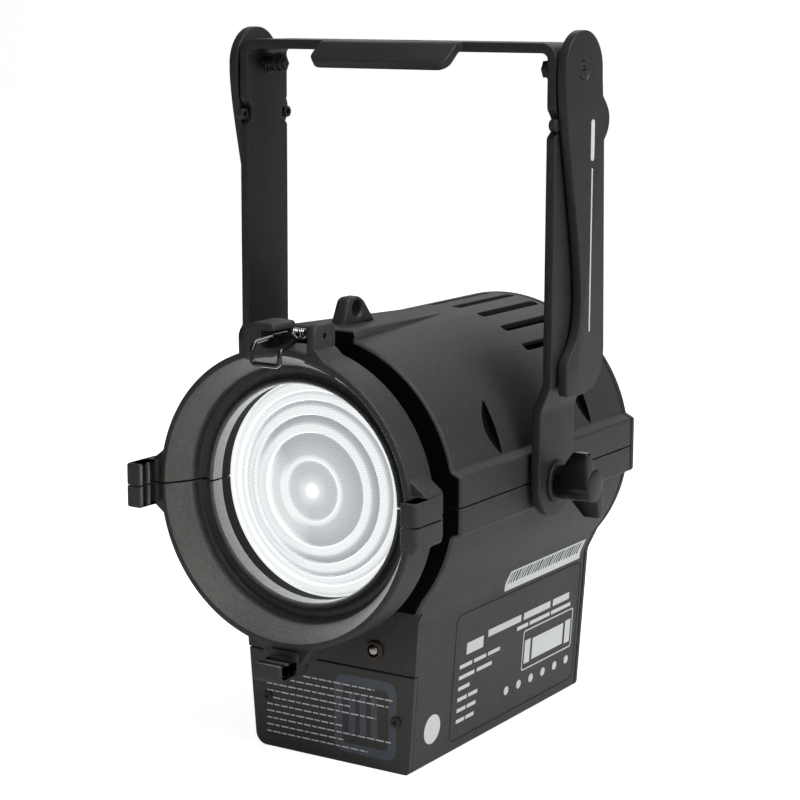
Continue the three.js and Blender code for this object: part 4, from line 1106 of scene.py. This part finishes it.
def yoke_bar():
    """Draws the bar flat with its notches, holes and rounded edges, then bends it."""
    path = yoke_path()
    lengths, normals = path_lengths(path), path_normals(path)
    total = lengths[-1]
    notch = length_at_height(path, lengths, PIN.z)
    pivot = length_at_height(path, lengths, PIVOT.z)
    bar = prism(strip_outline(total, notch), "z", -BAR, 0, 0.4, steps=3)
    trunnion = total - BAR_WIDTH / 2
    holes = [cylinder(5.2, "z", -9, 9, (0, TRUNNION.y), segments=64)]
    for _, side in SIDES:
        holes.append(cylinder(4.5, "z", -9, 9, (side * trunnion, TRUNNION.y)))
        holes.append(cylinder(2.3, "z", -9, 9, (side * pivot, TRUNNION.y)))
    bar = cut(bar, *holes)
    for length in lengths[1:-1]:
        for side in (-1, 1):
            slice_solid(bar, (side * length, 0, 0), (1, 0, 0))
    for i in range(9):
        slice_solid(bar, (0, YOKE_FRONT - GRIP_BEND * GRIP_ANGLE * i / 8, 0), (0, 1, 0))
    for vert in bar.verts:
        vert.co = bend(vert.co, path, lengths, normals)
    return bar


def slice_solid(bm, point, normal):
    everything = list(bm.verts) + list(bm.edges) + list(bm.faces)
    bmesh.ops.bisect_plane(bm, geom=everything, plane_co=point, plane_no=normal, dist=1e-4)


def bend(co, path, lengths, normals):
    """Where a point of the flat bar ends up."""
    s, y, t = co
    if y < YOKE_FRONT and abs(s) < GRIP_HALF + 1:
        run = YOKE_FRONT - y
        angle = min(run / GRIP_BEND, GRIP_ANGLE)
        rest = max(0, run - GRIP_BEND * GRIP_ANGLE)
        y = YOKE_FRONT - GRIP_BEND * math.sin(angle) - rest * math.cos(angle) - t * math.sin(angle)
        z = CROSSBAR_TOP - GRIP_BEND * (1 - math.cos(angle)) - rest * math.sin(angle) + t * math.cos(angle)
        return Vector((s, y, z))
    side = -1 if s < 0 else 1
    run = min(abs(s), lengths[-1])
    i = next(k for k in range(1, len(lengths)) if run <= lengths[k] + 1e-6)
    share = (run - lengths[i - 1]) / (lengths[i] - lengths[i - 1])
    here = path[i - 1].lerp(path[i], share)
    normal = normals[i - 1].lerp(normals[i], share).normalized()
    inner = here + normal * -t
    return Vector((side * inner.x, y, inner.y))


def index_pin(node):
    low, high = local_box(node)
    centre = middle(node)
    left = centre.x < 0
    open_end, shut_end = (high.x, low.x) if left else (low.x, high.x)
    depth = open_end + (shut_end - open_end) * 0.7
    profile = rounded([(0, shut_end), (2.5, shut_end, 0.3), (2.5, open_end, 0.4), (1.3, open_end, 0.2),
                       (1.3, depth), (0, depth)], 4)
    back = REAR_PIN_SHIFT if "rear" in node else 0
    return lathe(profile, 40, "x", (centre.y + back, centre.z))


def build_yoke():
    piece("yoke_bar", yoke_bar(), STEEL, "yoke_bracket")
    for end in ("front", "rear"):
        for side, _ in SIDES:
            node = f"index_pin_{end}_{side}"
            piece(f"detent_pin_{end}_{side}", index_pin(node), STEEL, node)


# ------------------------------------------------------------------ stand legs

LEG_HEAD = 16


def leg_outline():
    """Leg in (y, z): round head, tapering front edge, foot, straight back edge with one lobe."""
    y, z = PIVOT.y, PIVOT.z
    foot = LEG_LOW.z
    outline = [(y - LEG_HEAD, z - 3)]
    outline += bezier(outline[-1], (81, 150), (92.5, 115), (96.4, 86))
    outline += bezier(outline[-1], (98, 72), (96.5, 62), (89.5, 55.5))
    outline += bezier(outline[-1], (87, 53), (85.2, 51.5), (85.2, 49), 6)
    outline += [(85.5, foot + 3), (86.6, foot + 1.4)]
    outline += bezier(outline[-1], (92, foot + 0.2), (104, foot), (110, foot + 3.3), 8)
    outline += bezier(outline[-1], (115, foot + 6.3), (118, foot + 10.8), (118.2, foot + 17.8), 8)
    outline += [(114.9, 142)]
    outline += bezier(outline[-1], (117.6, 144.5), (119.4, 147), (119.4, 151), 8)
    outline += bezier(outline[-1], (119.4, 155), (115.8, 157.8), (113.2, 160.5), 8)
    outline += arc(y, z, LEG_HEAD, -4, 184, 44)
    return outline


def stand_leg(side):
    plate = prism(leg_outline(), "x", LEG_LOW.x, LEG_HIGH.x, 0.35, steps=3)
    rings = []
    for x, radius in ((LEG_HIGH.x - 2.5, 2.3), (LEG_HIGH.x + 0.1, 4.75)):
        rings.append([(x, a, b) for a, b in arc(PIVOT.y, PIVOT.z, radius, 0, 352.5, 47)])
    bore = cylinder(2.3, "x", LEG_LOW.x - 1, LEG_HIGH.x + 1, (PIVOT.y, PIVOT.z))
    return flipped(cut(plate, skin(rings), bore), side)


def pivot_screw(side):
    low, high = local_box("pivot_screw_right")
    profile = rounded([(0, low.x), (2, low.x, 0.3), (2, high.x - 2, 0), (4.1, high.x, 0.25), (0, high.x)], 4)
    screw = lathe(profile, 64, "x", (PIVOT.y, PIVOT.z))
    recess = cross_recess("x", high.x - 1.7, high.x + 0.1, (PIVOT.y, PIVOT.z), 1.2, 5.0)
    return flipped(cut(screw, *recess), side)


def pivot_nut(side):
    low, high = local_box("pivot_nut_right")
    centre = (PIVOT.y, PIVOT.z)
    hexagon = arc(*centre, 3.9, 0, 300, 5)
    nut = prism(hexagon, "x", low.x, high.x - 1, 0.35)
    washer = cylinder(4.7, "x", high.x - 0.95, high.x, centre, 0.2)
    return flipped(cut(join(nut, washer), cylinder(2.3, "x", low.x - 1, high.x + 1, centre)), side)


def pivot_spring(side):
    """Conical coil between the bar and the nut."""
    low, high = local_box("pivot_spring_right")
    gauge = 0.4
    path = helix(4.3, low.x + gauge, high.x - gauge, 3.5, PIVOT.y, PIVOT.z)
    for point in path:
        share = 1.0 - 0.32 * (high.x - point.x) / (high.x - low.x)
        point.y = PIVOT.y + (point.y - PIVOT.y) * share
        point.z = PIVOT.z + (point.z - PIVOT.z) * share
    return flipped(wire(path, gauge), side)


def build_legs():
    for name, side in SIDES:
        piece(f"leg_{name}", stand_leg(side), STEEL, f"stand_leg_{name}")
        piece(f"leg_screw_{name}", pivot_screw(side), STEEL, f"pivot_screw_{name}")
        piece(f"leg_nut_{name}", pivot_nut(side), STEEL, f"pivot_nut_{name}")
        spring = piece(f"leg_spring_{name}", pivot_spring(side), SPRING, f"pivot_spring_{name}")
        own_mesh(spring)


# ------------------------------------------------------------------ clamping knobs

WING_TILT = 5
WING_SPAN = 15.4
HUB_RADIUS = 7.2


def wing_outline():
    """Two opposed wings in (y, z), each in line with one side of the hub."""
    half = [(-HUB_RADIUS, 0), (-HUB_RADIUS, WING_SPAN, 1.6), (-2.3, WING_SPAN, 1.5), (-0.7, HUB_RADIUS + 0.1, 1.6)]
    half += arc(0, 0, HUB_RADIUS, 68, 6, 9)
    return rounded(half + [(-corner[0], -corner[1], *corner[2:]) for corner in half])


def wing_knob(side):
    """Hub with two wings that start wide at the bar and end in square tips."""
    inner, outer = KNOB_LOW.x, KNOB_HIGH.x
    tip = WING_SPAN + 1
    side_view = rounded([
        (79.8, -HUB_RADIUS, 0.8), (86.4, -tip), (outer + 1, -tip), (outer + 1, tip), (86.4, tip),
        (79.8, HUB_RADIUS, 0.8),
    ])
    wings = common(prism(wing_outline(), "x", 79, outer - 0.2, 0.9, steps=4), prism(side_view, "y", -20, 20, 0))
    hub = cylinder(HUB_RADIUS, "x", inner, outer, edge=0.9, segments=96)
    knob = cut(join(hub, wings), cylinder(4.2, "x", inner - 1, 86.3))
    knob = turned(knob, "X", WING_TILT)
    moved(knob, Matrix.Translation((0, TRUNNION.y, TRUNNION.z)))
    return flipped(knob, side)


def knob_stud(side):
    low, high = local_box("knob_stud_right")
    profile = [(0, low.x), (3.2, low.x)]
    pitch = 1.25
    x = low.x + 0.7
    while x + pitch < high.x:
        profile += [(3.9, x), (3.45, x + pitch / 2)]
        x += pitch
    profile += [(3.9, high.x), (0, high.x)]
    return flipped(lathe(profile, 48, "x", (TRUNNION.y, TRUNNION.z)), side)


def knob_washer(side):
    low, high = local_box("knob_washer_right")
    profile = rounded([(4.3, low.x), (9, low.x, 0.3), (9, high.x, 0.4), (4.3, high.x, 0.1)], 4)
    return flipped(lathe(profile, 64, "x", (TRUNNION.y, TRUNNION.z)), side)


def build_knobs():
    for name, side in SIDES:
        piece(f"wing_knob_{name}", wing_knob(side), GLOSS, f"knob_{name}")
        piece(f"clamp_stud_{name}", knob_stud(side), ZINC, f"knob_stud_{name}")
        piece(f"clamp_washer_{name}", knob_washer(side), STEEL, f"knob_washer_{name}")


# ------------------------------------------------------------------ bail and its spring


def bail():
    """One length of spring wire: pivot, arm, loop in front of the rim, and back."""
    low, high = local_box("retaining_bail")
    left, right, front, foot = -4.4, 9.2, low.y + 1, low.z + 1
    path = soften([
        (low.x + 0.1, BAIL_Y, BAIL_Z), (-1.6, BAIL_Y, BAIL_Z), (-1.6, BAIL_Y - 10.6, BAIL_Z - 0.2),
        (left, front + 2.4, BAIL_Z - 1.6), (left, front, BAIL_Z - 4.6), (left, front, foot), (right, front, foot), (right, front, BAIL_Z - 4.2),
        (right, BAIL_Y - 9.5, BAIL_Z - 0.8), (right - 5.6, BAIL_Y - 5, BAIL_Z + 0.3), (right - 3.6, BAIL_Y, BAIL_Z),
        (high.x - 0.1, BAIL_Y, BAIL_Z),
    ], 2.0)
    return wire(path, 1.0, 16)


def build_bail():
    piece("gel_bail", bail(), SPRING, "retaining_bail")
    low, high = local_box("bail_spring")
    coil = wire(helix(1.9, low.x + 0.4, high.x - 0.4, 5.5, BAIL_Y, BAIL_Z), 0.42)
    piece("bail_coil", coil, BRIGHT_SPRING, "bail_spring")


# ------------------------------------------------------------------ rear panel and controls


def node_frame(node):
    """(x0, x1, z0, z1) of a node."""
    low, high = local_box(node)
    return low.x, high.x, low.z, high.z


def rear_panel():
    face, back = REAR_LOW.y, REAR_HIGH.y
    upper = prism(dome_outline(), "y", face, back, 0.3, 1.2, 4)
    lower = prism(box_outline(), "y", face, back, 0.3, 1.2, 4)
    spigot = [prism(draw(WALL + FIT), "y", face - 2.4, face + 1, 0) for draw in (dome_outline, box_outline)]
    plate = join(upper, lower, *spigot)
    x0, x1, z0, z1 = node_frame("display_window")
    holes = [box(x0 - FIT, x1 + FIT, face - 4, back + 1, z0 - FIT, z1 + FIT)]
    for node, lip in (("power_inlet", 2.0), ("switch_frame", 1.5)):
        x0, x1, z0, z1 = node_frame(node)
        gap = FIT - lip
        holes.append(box(x0 - gap, x1 + gap, face - 4, back + 1, z0 - gap, z1 + gap))
    drills = [(f"menu_button_{i}", 3.7) for i in range(1, 5)]
    drills += [("data_input", 11.3), ("data_output", 11.3), ("zoom_knob", 3.8)]
    drills += [(f"panel_screw_{i}", 1.9) for i in range(1, 5)]
    for node, radius in drills:
        centre = middle(node)
        if node.startswith("panel_screw") and centre.x < 0 and centre.z < BOX_TOP_Z:
            centre.x += BOX_FOOT_HALF - BOX_LEFT_FOOT
        holes.append(cylinder(radius, "y", face - 4, back + 1, (centre.x, centre.z)))
    return cut(plate, *holes)


def zoom_knob():
    low, high = local_box("zoom_knob")
    centre = middle("zoom_knob")
    outline = []
    for i in range(192):
        angle = 2 * math.pi * i / 192
        radius = 11.05 + 0.45 * math.tanh(2.5 * math.cos(18 * angle))
        outline.append((radius * math.cos(angle), radius * math.sin(angle)))
    grip = prism(outline, "y", low.y, high.y - 1.6, 0.5)
    cap = lathe(rounded([(0, high.y - 4), (10.2, high.y - 4), (10.2, high.y, 1.4), (0, high.y)], 5), 96)
    bore = cylinder(3.8, "y", low.y - 1, low.y + 3.3)
    dish = lathe(rounded([(0, high.y - 0.6), (6.2, high.y - 0.6, 0.4), (7.0, high.y + 0.2), (0, high.y + 0.2)], 4), 64)
    knob = cut(join(grip, cap), bore, dish)
    return moved(knob, Matrix.Translation((centre.x, 0, centre.z)))


def lead_screw():
    low, high = local_box("lead_screw")
    centre = middle("lead_screw")
    profile = [(0, low.y), (2.9, low.y)]
    y = low.y + 0.8
    while y < REAR_LOW.y - 12:
        profile += [(3.5, y), (3.5, y + 0.7), (3.05, y + 1.1), (3.05, y + 1.6)]
        y += 2.0
    profile += [(3.5, y), (3.5, high.y), (0, high.y)]
    return lathe(profile, 40, "y", (centre.x, centre.z))


def power_inlet():
    x0, x1, z0, z1 = node_frame("power_inlet")
    low, high = local_box("power_inlet")
    face = REAR_HIGH.y + 0.2
    flange = prism(rounded(rectangle(x0, x1, z0, z1, 2)), "y", face, high.y, 0, 0.5)
    body = box(x0 + 2, x1 - 2, low.y, face + 0.5, z0 + 2, z1 - 2, 1)
    mouth = prism(rounded([
        (x0 + 4.5, z0 + 5, 1), (x1 - 4.5, z0 + 5, 1), (x1 - 4.5, z1 - 8, 1), (x1 - 8, z1 - 5, 1),
        (x0 + 8, z1 - 5, 1), (x0 + 4.5, z1 - 8, 1),
    ]), "y", 166, high.y + 1, 0.4)
    socket = cut(join(flange, body), mouth)
    pins = []
    for i, dx in enumerate((-7, 0, 7)):
        x, z = (x0 + x1) / 2 + dx, (z0 + z1) / 2 + (1.5 if i == 1 else -1)
        pins.append(box(x - 1, x + 1, 165, 180, z - 2, z + 2, 0.6, 0.4))
    return join(socket, *pins)


def data_socket(node, has_pins):
    """Round three-pole socket: pins in a sunken mouth, or three holes inside a ring groove."""
    low, high = local_box(node)
    centre = middle(node)
    face = REAR_HIGH.y + 0.2
    flange = lathe(rounded([(0, face), (13.2, face), (13.2, high.y, 0.7), (0, high.y)], 4), 80)
    body = cylinder(11, "y", low.y, face + 0.5, segments=64)
    shell = join(flange, body)
    poles = []
    for degrees in (90, 210, 330):
        turn = math.radians(degrees)
        place = (4 * math.cos(turn), 4 * math.sin(turn))
        ends = (166, high.y - 3) if has_pins else (170, high.y + 1)
        poles.append(cylinder(1.2, "y", *ends, place, 0.3 if has_pins else 0, 24))
    if has_pins:
        mouth = lathe(rounded([(0, 167), (8.5, 167, 0.5), (8.5, high.y - 0.6), (9.2, high.y + 0.1), (0, high.y + 0.1)]), 64)
        shell = join(cut(shell, mouth), *poles)
    else:
        ring = lathe(rounded([(8.6, high.y - 3), (9.4, high.y - 3), (9.4, high.y + 1), (8.6, high.y + 1)], 2), 64)
        shell = cut(shell, ring, *poles)
    return moved(shell, Matrix.Translation((centre.x, 0, centre.z)))


def switch_frame():
    x0, x1, z0, z1 = node_frame("switch_frame")
    low, high = local_box("switch_frame")
    face = REAR_HIGH.y + 0.2
    flange = prism(rounded(rectangle(x0, x1, z0, z1, 1.5)), "y", face, high.y, 0, 0.4)
    body = box(x0 + 1.5, x1 - 1.5, low.y, face + 0.5, z0 + 1.5, z1 - 1.5, 0.5)
    well = box(x0 + 3, x1 - 3, REAR_HIGH.y - 8, high.y + 1, z0 + 3, z1 - 3, 0.4)
    return cut(join(flange, body), well)


def switch_rocker():
    low, high = local_box("switch_rocker")
    centre = middle("switch_rocker")
    back, half = REAR_HIGH.y, (high.z - low.z) / 2
    outline = rounded([
        (back - 4.5, centre.z - 5, 1), (back - 0.6, centre.z - half, 0.6), (back - 0.1, centre.z, 14),
        (high.y, centre.z + half, 0.8), (back - 4.5, centre.z + 5, 1),
    ])
    rocker = prism(outline, "x", low.x, high.x, 0.5)
    bar = box(centre.x - 0.4, centre.x + 0.4, back - 0.9, back + 4, centre.z - 5.5, centre.z - 2.5, 0.2)
    return cut(rocker, bar)


def menu_button(i):
    low, high = local_box(f"menu_button_{i}")
    centre = middle(f"menu_button_{i}")
    dish = 0.35
    profile = rounded([(0, low.y), (3.4, low.y, 0.2), (3.4, high.y, 0.6), (2.2, high.y, 0.8), (0, high.y - dish)], 5)
    return lathe(profile, 56, "y", (centre.x, centre.z))


def display_window():
    low, high = local_box("display_window")
    glass = prism(rounded(rectangle(low.x, high.x, low.z, high.z, 0.6)), "y", 179.5, high.y, 0.1, 0.2)
    return join(glass, box(low.x + 2, high.x - 2, low.y, 180, low.z + 2, high.z - 2, 0.5))


def build_rear():
    piece("rear_cover", rear_panel(), STEEL, "rear_panel")
    for i in range(1, 5):
        piece(f"rear_screw_{i}", small_screw(f"panel_screw_{i}", 3.2, 1.8, 1.5), STEEL, f"panel_screw_{i}")
        piece(f"button_cap_{i}", menu_button(i), RUBBER, f"menu_button_{i}")
    piece("inlet_socket", power_inlet(), MATT, "power_inlet")
    piece("data_socket_in", data_socket("data_input", True), ZINC, "data_input")
    piece("data_socket_out", data_socket("data_output", False), MATT, "data_output")
    piece("switch_bezel", switch_frame(), MATT, "switch_frame")
    piece("power_rocker", switch_rocker(), GLOSS, "switch_rocker")
    piece("display_glass", display_window(), WINDOW, "display_window")
    piece("focus_knob", zoom_knob(), MATT, "zoom_knob")
    piece("focus_screw", lead_screw(), ZINC, "lead_screw")


# ------------------------------------------------------------------ pieces hidden inside

INSIDE = {
    "heat_sink": ALUMINIUM, "reflector_cup": ALUMINIUM, "led_board": BOARD, "led_emitter": PHOSPHOR,
    "guide_rod_left": ZINC, "guide_rod_right": ZINC, "driver_board": BOARD, "battery_pack": WRAP,
}


def dress_inside():
    """The inner CAD pieces keep their shape and get softened edges and their materials."""
    for node, material in INSIDE.items():
        obj = frame["nodes"][node]
        obj.data.materials.clear()
        obj.data.materials.append(material)
        softener = obj.modifiers.new("soft_edges", "BEVEL")
        softener.width = 0.3 * MM
        softener.segments = 2
        softener.limit_method = "ANGLE"


# ------------------------------------------------------------------ printed marks and stickers


def mark(name, bm, material, node):
    """A thin printed mark that rides with the body of a node."""
    obj = piece(f"mark_{name}", bm, material, node)
    return obj


PRINT = 0.12


def front_marks():
    """Plain rows of dashes and a battery outline on the battery door."""
    face = BOX_FRONT - PRINT
    rows = []
    row_ends = (24, 33, 31, 12, 25, 5, 8, 33, 9, 21)
    for i, end in enumerate(row_ends):
        z = -84.4 - i * 3.05
        x = -31.0 if i else -12.0
        while x < end:
            dash = 2.2 + 1.7 * ((i * 7 + int(x + 40) * 3) % 5) / 4
            rows.append(box(x, min(x + dash, end), face, face + PRINT + 0.03, z, z + 0.55))
            x += dash + 0.8
    mark("door_rows", together(*rows), WHITE_INK, "battery_cover")
    outer = rounded(rectangle(4, 35, -113.5, -79.5, 5))
    inner = rounded(rectangle(8, 31, -109.5, -83.5, 2.5))
    shell = cut(prism(outer, "y", face + 0.03, face + PRINT + 0.03, 0), prism(inner, "y", face - 1, face + 1, 0))
    bars = [box(11.2 + k * 5.6, 14.4 + k * 5.6, face + 0.03, face + PRINT + 0.03, -106, -87, 0.6) for k in range(3)]
    mark("door_battery", together(shell, *bars), GREY_INK, "battery_cover")


def on_side(outline, lift, depth=PRINT):
    """A mark on the right side of the battery box from an outline in (y, z)."""
    bm = prism(outline, "x", 0, depth, 0)
    for vert in bm.verts:
        vert.co.x += side_x(vert.co.z) + lift - depth
    return bm


def bars_on_side(rows, lift, depth=PRINT):
    return together(*[on_side(rounded(rectangle(*row, 0.0)), lift, depth) for row in rows])


def side_label():
    """Dark rating label with a fine border, plain dashes and boxes; no lettering."""
    low, high, foot, top = 64, 176, -113.5, -56.5
    border = cut(on_side(rounded(rectangle(low, high, foot, top, 4)), 0.10),
                 on_side(rounded(rectangle(low + 0.5, high - 0.5, foot + 0.5, top - 0.5, 3.6)), 0.4, 0.8))
    mark("label_border", border, RUBBER, "lower_shell")
    rows = []
    rows += [(a, b, -72.6, -69.4) for a, b in ((92, 121), (123.5, 148), (150.5, 166))]
    rows += [(a, b, -76.4, -74.6) for a, b in ((118, 128), (129.5, 148), (149.5, 168))]
    rows += [(74, 88, -76.0, -70.8)]
    left_rows = ((36, 3), (30, 2), (11, 1), (18, 2), (17, 2), (16, 2))
    for i, (length, words) in enumerate(left_rows):
        z = -81.4 - i * 4.9
        step = length / words
        rows += [(69 + k * step, 69 + (k + 0.86) * step, z, z + 1.7) for k in range(words)]
    mark("label_rows", bars_on_side(rows, 0.12), WHITE_INK, "lower_shell")
    frame_outer = on_side(rounded(rectangle(124.5, 171.5, -97, -78, 1.5)), 0.12)
    frame_inner = on_side(rounded(rectangle(125.1, 170.9, -96.4, -78.6, 1.2)), 0.4, 0.8)
    boxed = [(126.5, 131.5, -94, -83), (164.5, 169.5, -94, -83), (133.5, 162.5, -93.5, -83.5)]
    mark("label_frame", cut(frame_outer, frame_inner), WHITE_INK, "lower_shell")
    mark("label_blocks", bars_on_side(boxed, 0.12), STICKER, "lower_shell")
    dots = [on_side(arc(112 + k * 11.2, -102.6, 2.0, 0, 345, 23), 0.12) for k in range(6)]
    mark("label_dots", together(*dots), WHITE_INK, "lower_shell")


def striped_sticker():
    """White strip with dark bars of mixed widths, like a stock label without its digits."""
    low, high, foot, top = 103.5, 173.5, -54.8, -45.2
    base = on_side_curve(rounded(rectangle(low, high, foot, top, 0.6)), 0.16)
    mark("strip_base", base, STICKER, "lower_shell")
    bars = []
    y = low + 2.2
    i = 0
    while y < high - 3:
        width = 0.7 + 0.3 * ((i * 5) % 4)
        bars.append((y, y + width, foot + 3.1, top - 1.0))
        y += width + 1.3 + 0.4 * ((i * 3) % 3)
        i += 1
    strips = [on_side_curve(rounded(rectangle(*bar, 0)), 0.22) for bar in bars]
    mark("strip_bars", together(*strips), BAR_INK, "lower_shell")


def shoulder_x(z):
    """Half width of the casting over the shoulder and the top of the box."""
    outline = [p for p in box_outline() if p[0] > 0]
    best = None
    for (x0, z0), (x1, z1) in zip(outline, outline[1:]):
        if min(z0, z1) <= z <= max(z0, z1) and abs(z1 - z0) > 1e-6:
            x = x0 + (x1 - x0) * (z - z0) / (z1 - z0)
            best = x if best is None else max(best, x)
    return best


def on_side_curve(outline, lift):
    """A mark that follows the shoulder; sliced so that it bends smoothly."""
    bm = prism(outline, "x", 0, lift, 0)
    z = -54.0
    while z < -45:
        slice_solid(bm, (0, 0, z), (0, 0, 1))
        z += 1.0
    for vert in bm.verts:
        vert.co.x += shoulder_x(vert.co.z)
    return bm


def round_sticker():
    """Blank round sticker near the front edge of the box."""
    disc = arc(49.2, -102.4, 6.4, 0, 354, 59)
    mark("round_sticker", on_side(disc, PRINT), STICKER, "lower_shell")


def leg_stripes():
    """Plain pinstripe down each stand leg."""
    for name, side in SIDES:
        parts = []
        for z0, z1, half in ((134, 151, 1.5), (63, 131, 0.5)):
            outline = rounded(rectangle(104.4 - half, 104.4 + half, z0, z1, half * 0.95))
            parts.append(flipped(prism(outline, "x", LEG_HIGH.x - 0.02, LEG_HIGH.x + 0.08, 0), side))
        mark(f"leg_stripe_{name}", together(*parts), WHITE_INK, f"stand_leg_{name}")


def build_marks():
    front_marks()
    side_label()
    striped_sticker()
    round_sticker()
    leg_stripes()


# ------------------------------------------------------------------ floor, lights, camera


def studio():
    """Pale paper sweep; the lights and the camera are set up by lights() and camera()."""
    s = Shader("studio_paper")
    paper = s.noise(900, detail=2.0)
    tone = s.mix(paper, (0.86, 0.86, 0.86), (0.9, 0.9, 0.9))
    seen = s.node("ShaderNodeLightPath").outputs["Is Camera Ray"]
    glow = s.range(seen, 0.03, 0.85)
    material = s.finish(tone, s.range(paper, 0.75, 0.9), Emission_Color=(1, 1, 1), Emission_Strength=glow)
    half, rise, bend_radius, back = 4.0, 3.0, 1.0, 2.2
    profile = [(-6, 0)] + [(back + y, bend_radius + z) for y, z in arc(0, 0, bend_radius, -90, 0, 16)]
    profile.append((back + bend_radius, rise))
    bm = bmesh.new()
    rows = [[bm.verts.new((x, y, z)) for y, z in profile] for x in (-half, half)]
    for i in range(len(profile) - 1):
        bm.faces.new((rows[0][i], rows[1][i], rows[1][i + 1], rows[0][i + 1]))
    for face in bm.faces:
        face.smooth = True
    floor = as_object(bm, "studio_sweep")
    floor.data.materials.append(material)


def area_light(name, place, target, size, power, color=(1, 1, 1)):
    data = bpy.data.lights.new(name, "AREA")
    data.shape = "RECTANGLE"
    data.size, data.size_y = size
    data.energy = power
    data.color = color
    obj = bpy.data.objects.new(name, data)
    obj.location = place
    obj.rotation_euler = (Vector(target) - Vector(place)).to_track_quat("-Z", "Y").to_euler()
    bpy.context.scene.collection.objects.link(obj)


def lights():
    world = bpy.data.worlds.new("studio_air")
    world.use_nodes = True
    tree = world.node_tree
    sky = tree.nodes["Background"].inputs
    sky["Color"].default_value = (1, 1, 1, 1)
    strength = tree.nodes.new("ShaderNodeMapRange")
    strength.inputs["To Min"].default_value = 0.11
    tree.links.new(tree.nodes.new("ShaderNodeLightPath").outputs["Is Camera Ray"], strength.inputs["Value"])
    tree.links.new(strength.outputs["Result"], sky["Strength"])
    bpy.context.scene.world = world
    aim = (0, 0, 0.15)
    area_light("top_box", (0.6, -0.1, 1.5), aim, (1.0, 1.0), 14)
    area_light("right_box", (1.6, -0.1, 0.9), aim, (0.9, 1.2), 9.5)
    area_light("back_box", (-0.6, 1.5, 1.1), aim, (1.4, 0.8), 4)
    area_light("front_box", (-0.2, -1.9, 0.8), aim, (0.5, 0.9), 1.2)


CAMERA_PLACE = Vector((0.4982, -0.8018, 0.3161))
CAMERA_TARGET = Vector((0.01877, -0.045, 0.15266))
CAMERA_ROLL = 0.22
CAMERA_LENS = 97.9


def camera():
    data = bpy.data.cameras.new("photo_camera")
    data.lens = CAMERA_LENS
    data.sensor_width = 36
    obj = bpy.data.objects.new("photo_camera", data)
    look = (CAMERA_TARGET - CAMERA_PLACE).to_track_quat("-Z", "Y")
    obj.matrix_world = (
        Matrix.Translation(CAMERA_PLACE) @ look.to_matrix().to_4x4() @ Matrix.Rotation(math.radians(CAMERA_ROLL), 4, "Z")
    )
    bpy.context.scene.collection.objects.link(obj)
    bpy.context.scene.camera = obj


build_housing()
build_lens()
build_yoke()
build_legs()
build_knobs()
build_bail()
build_rear()
dress_inside()
build_marks()
studio()
lights()
camera()
bpy.context.scene.view_settings.view_transform = "Standard"

bpy.context.view_layer.update()
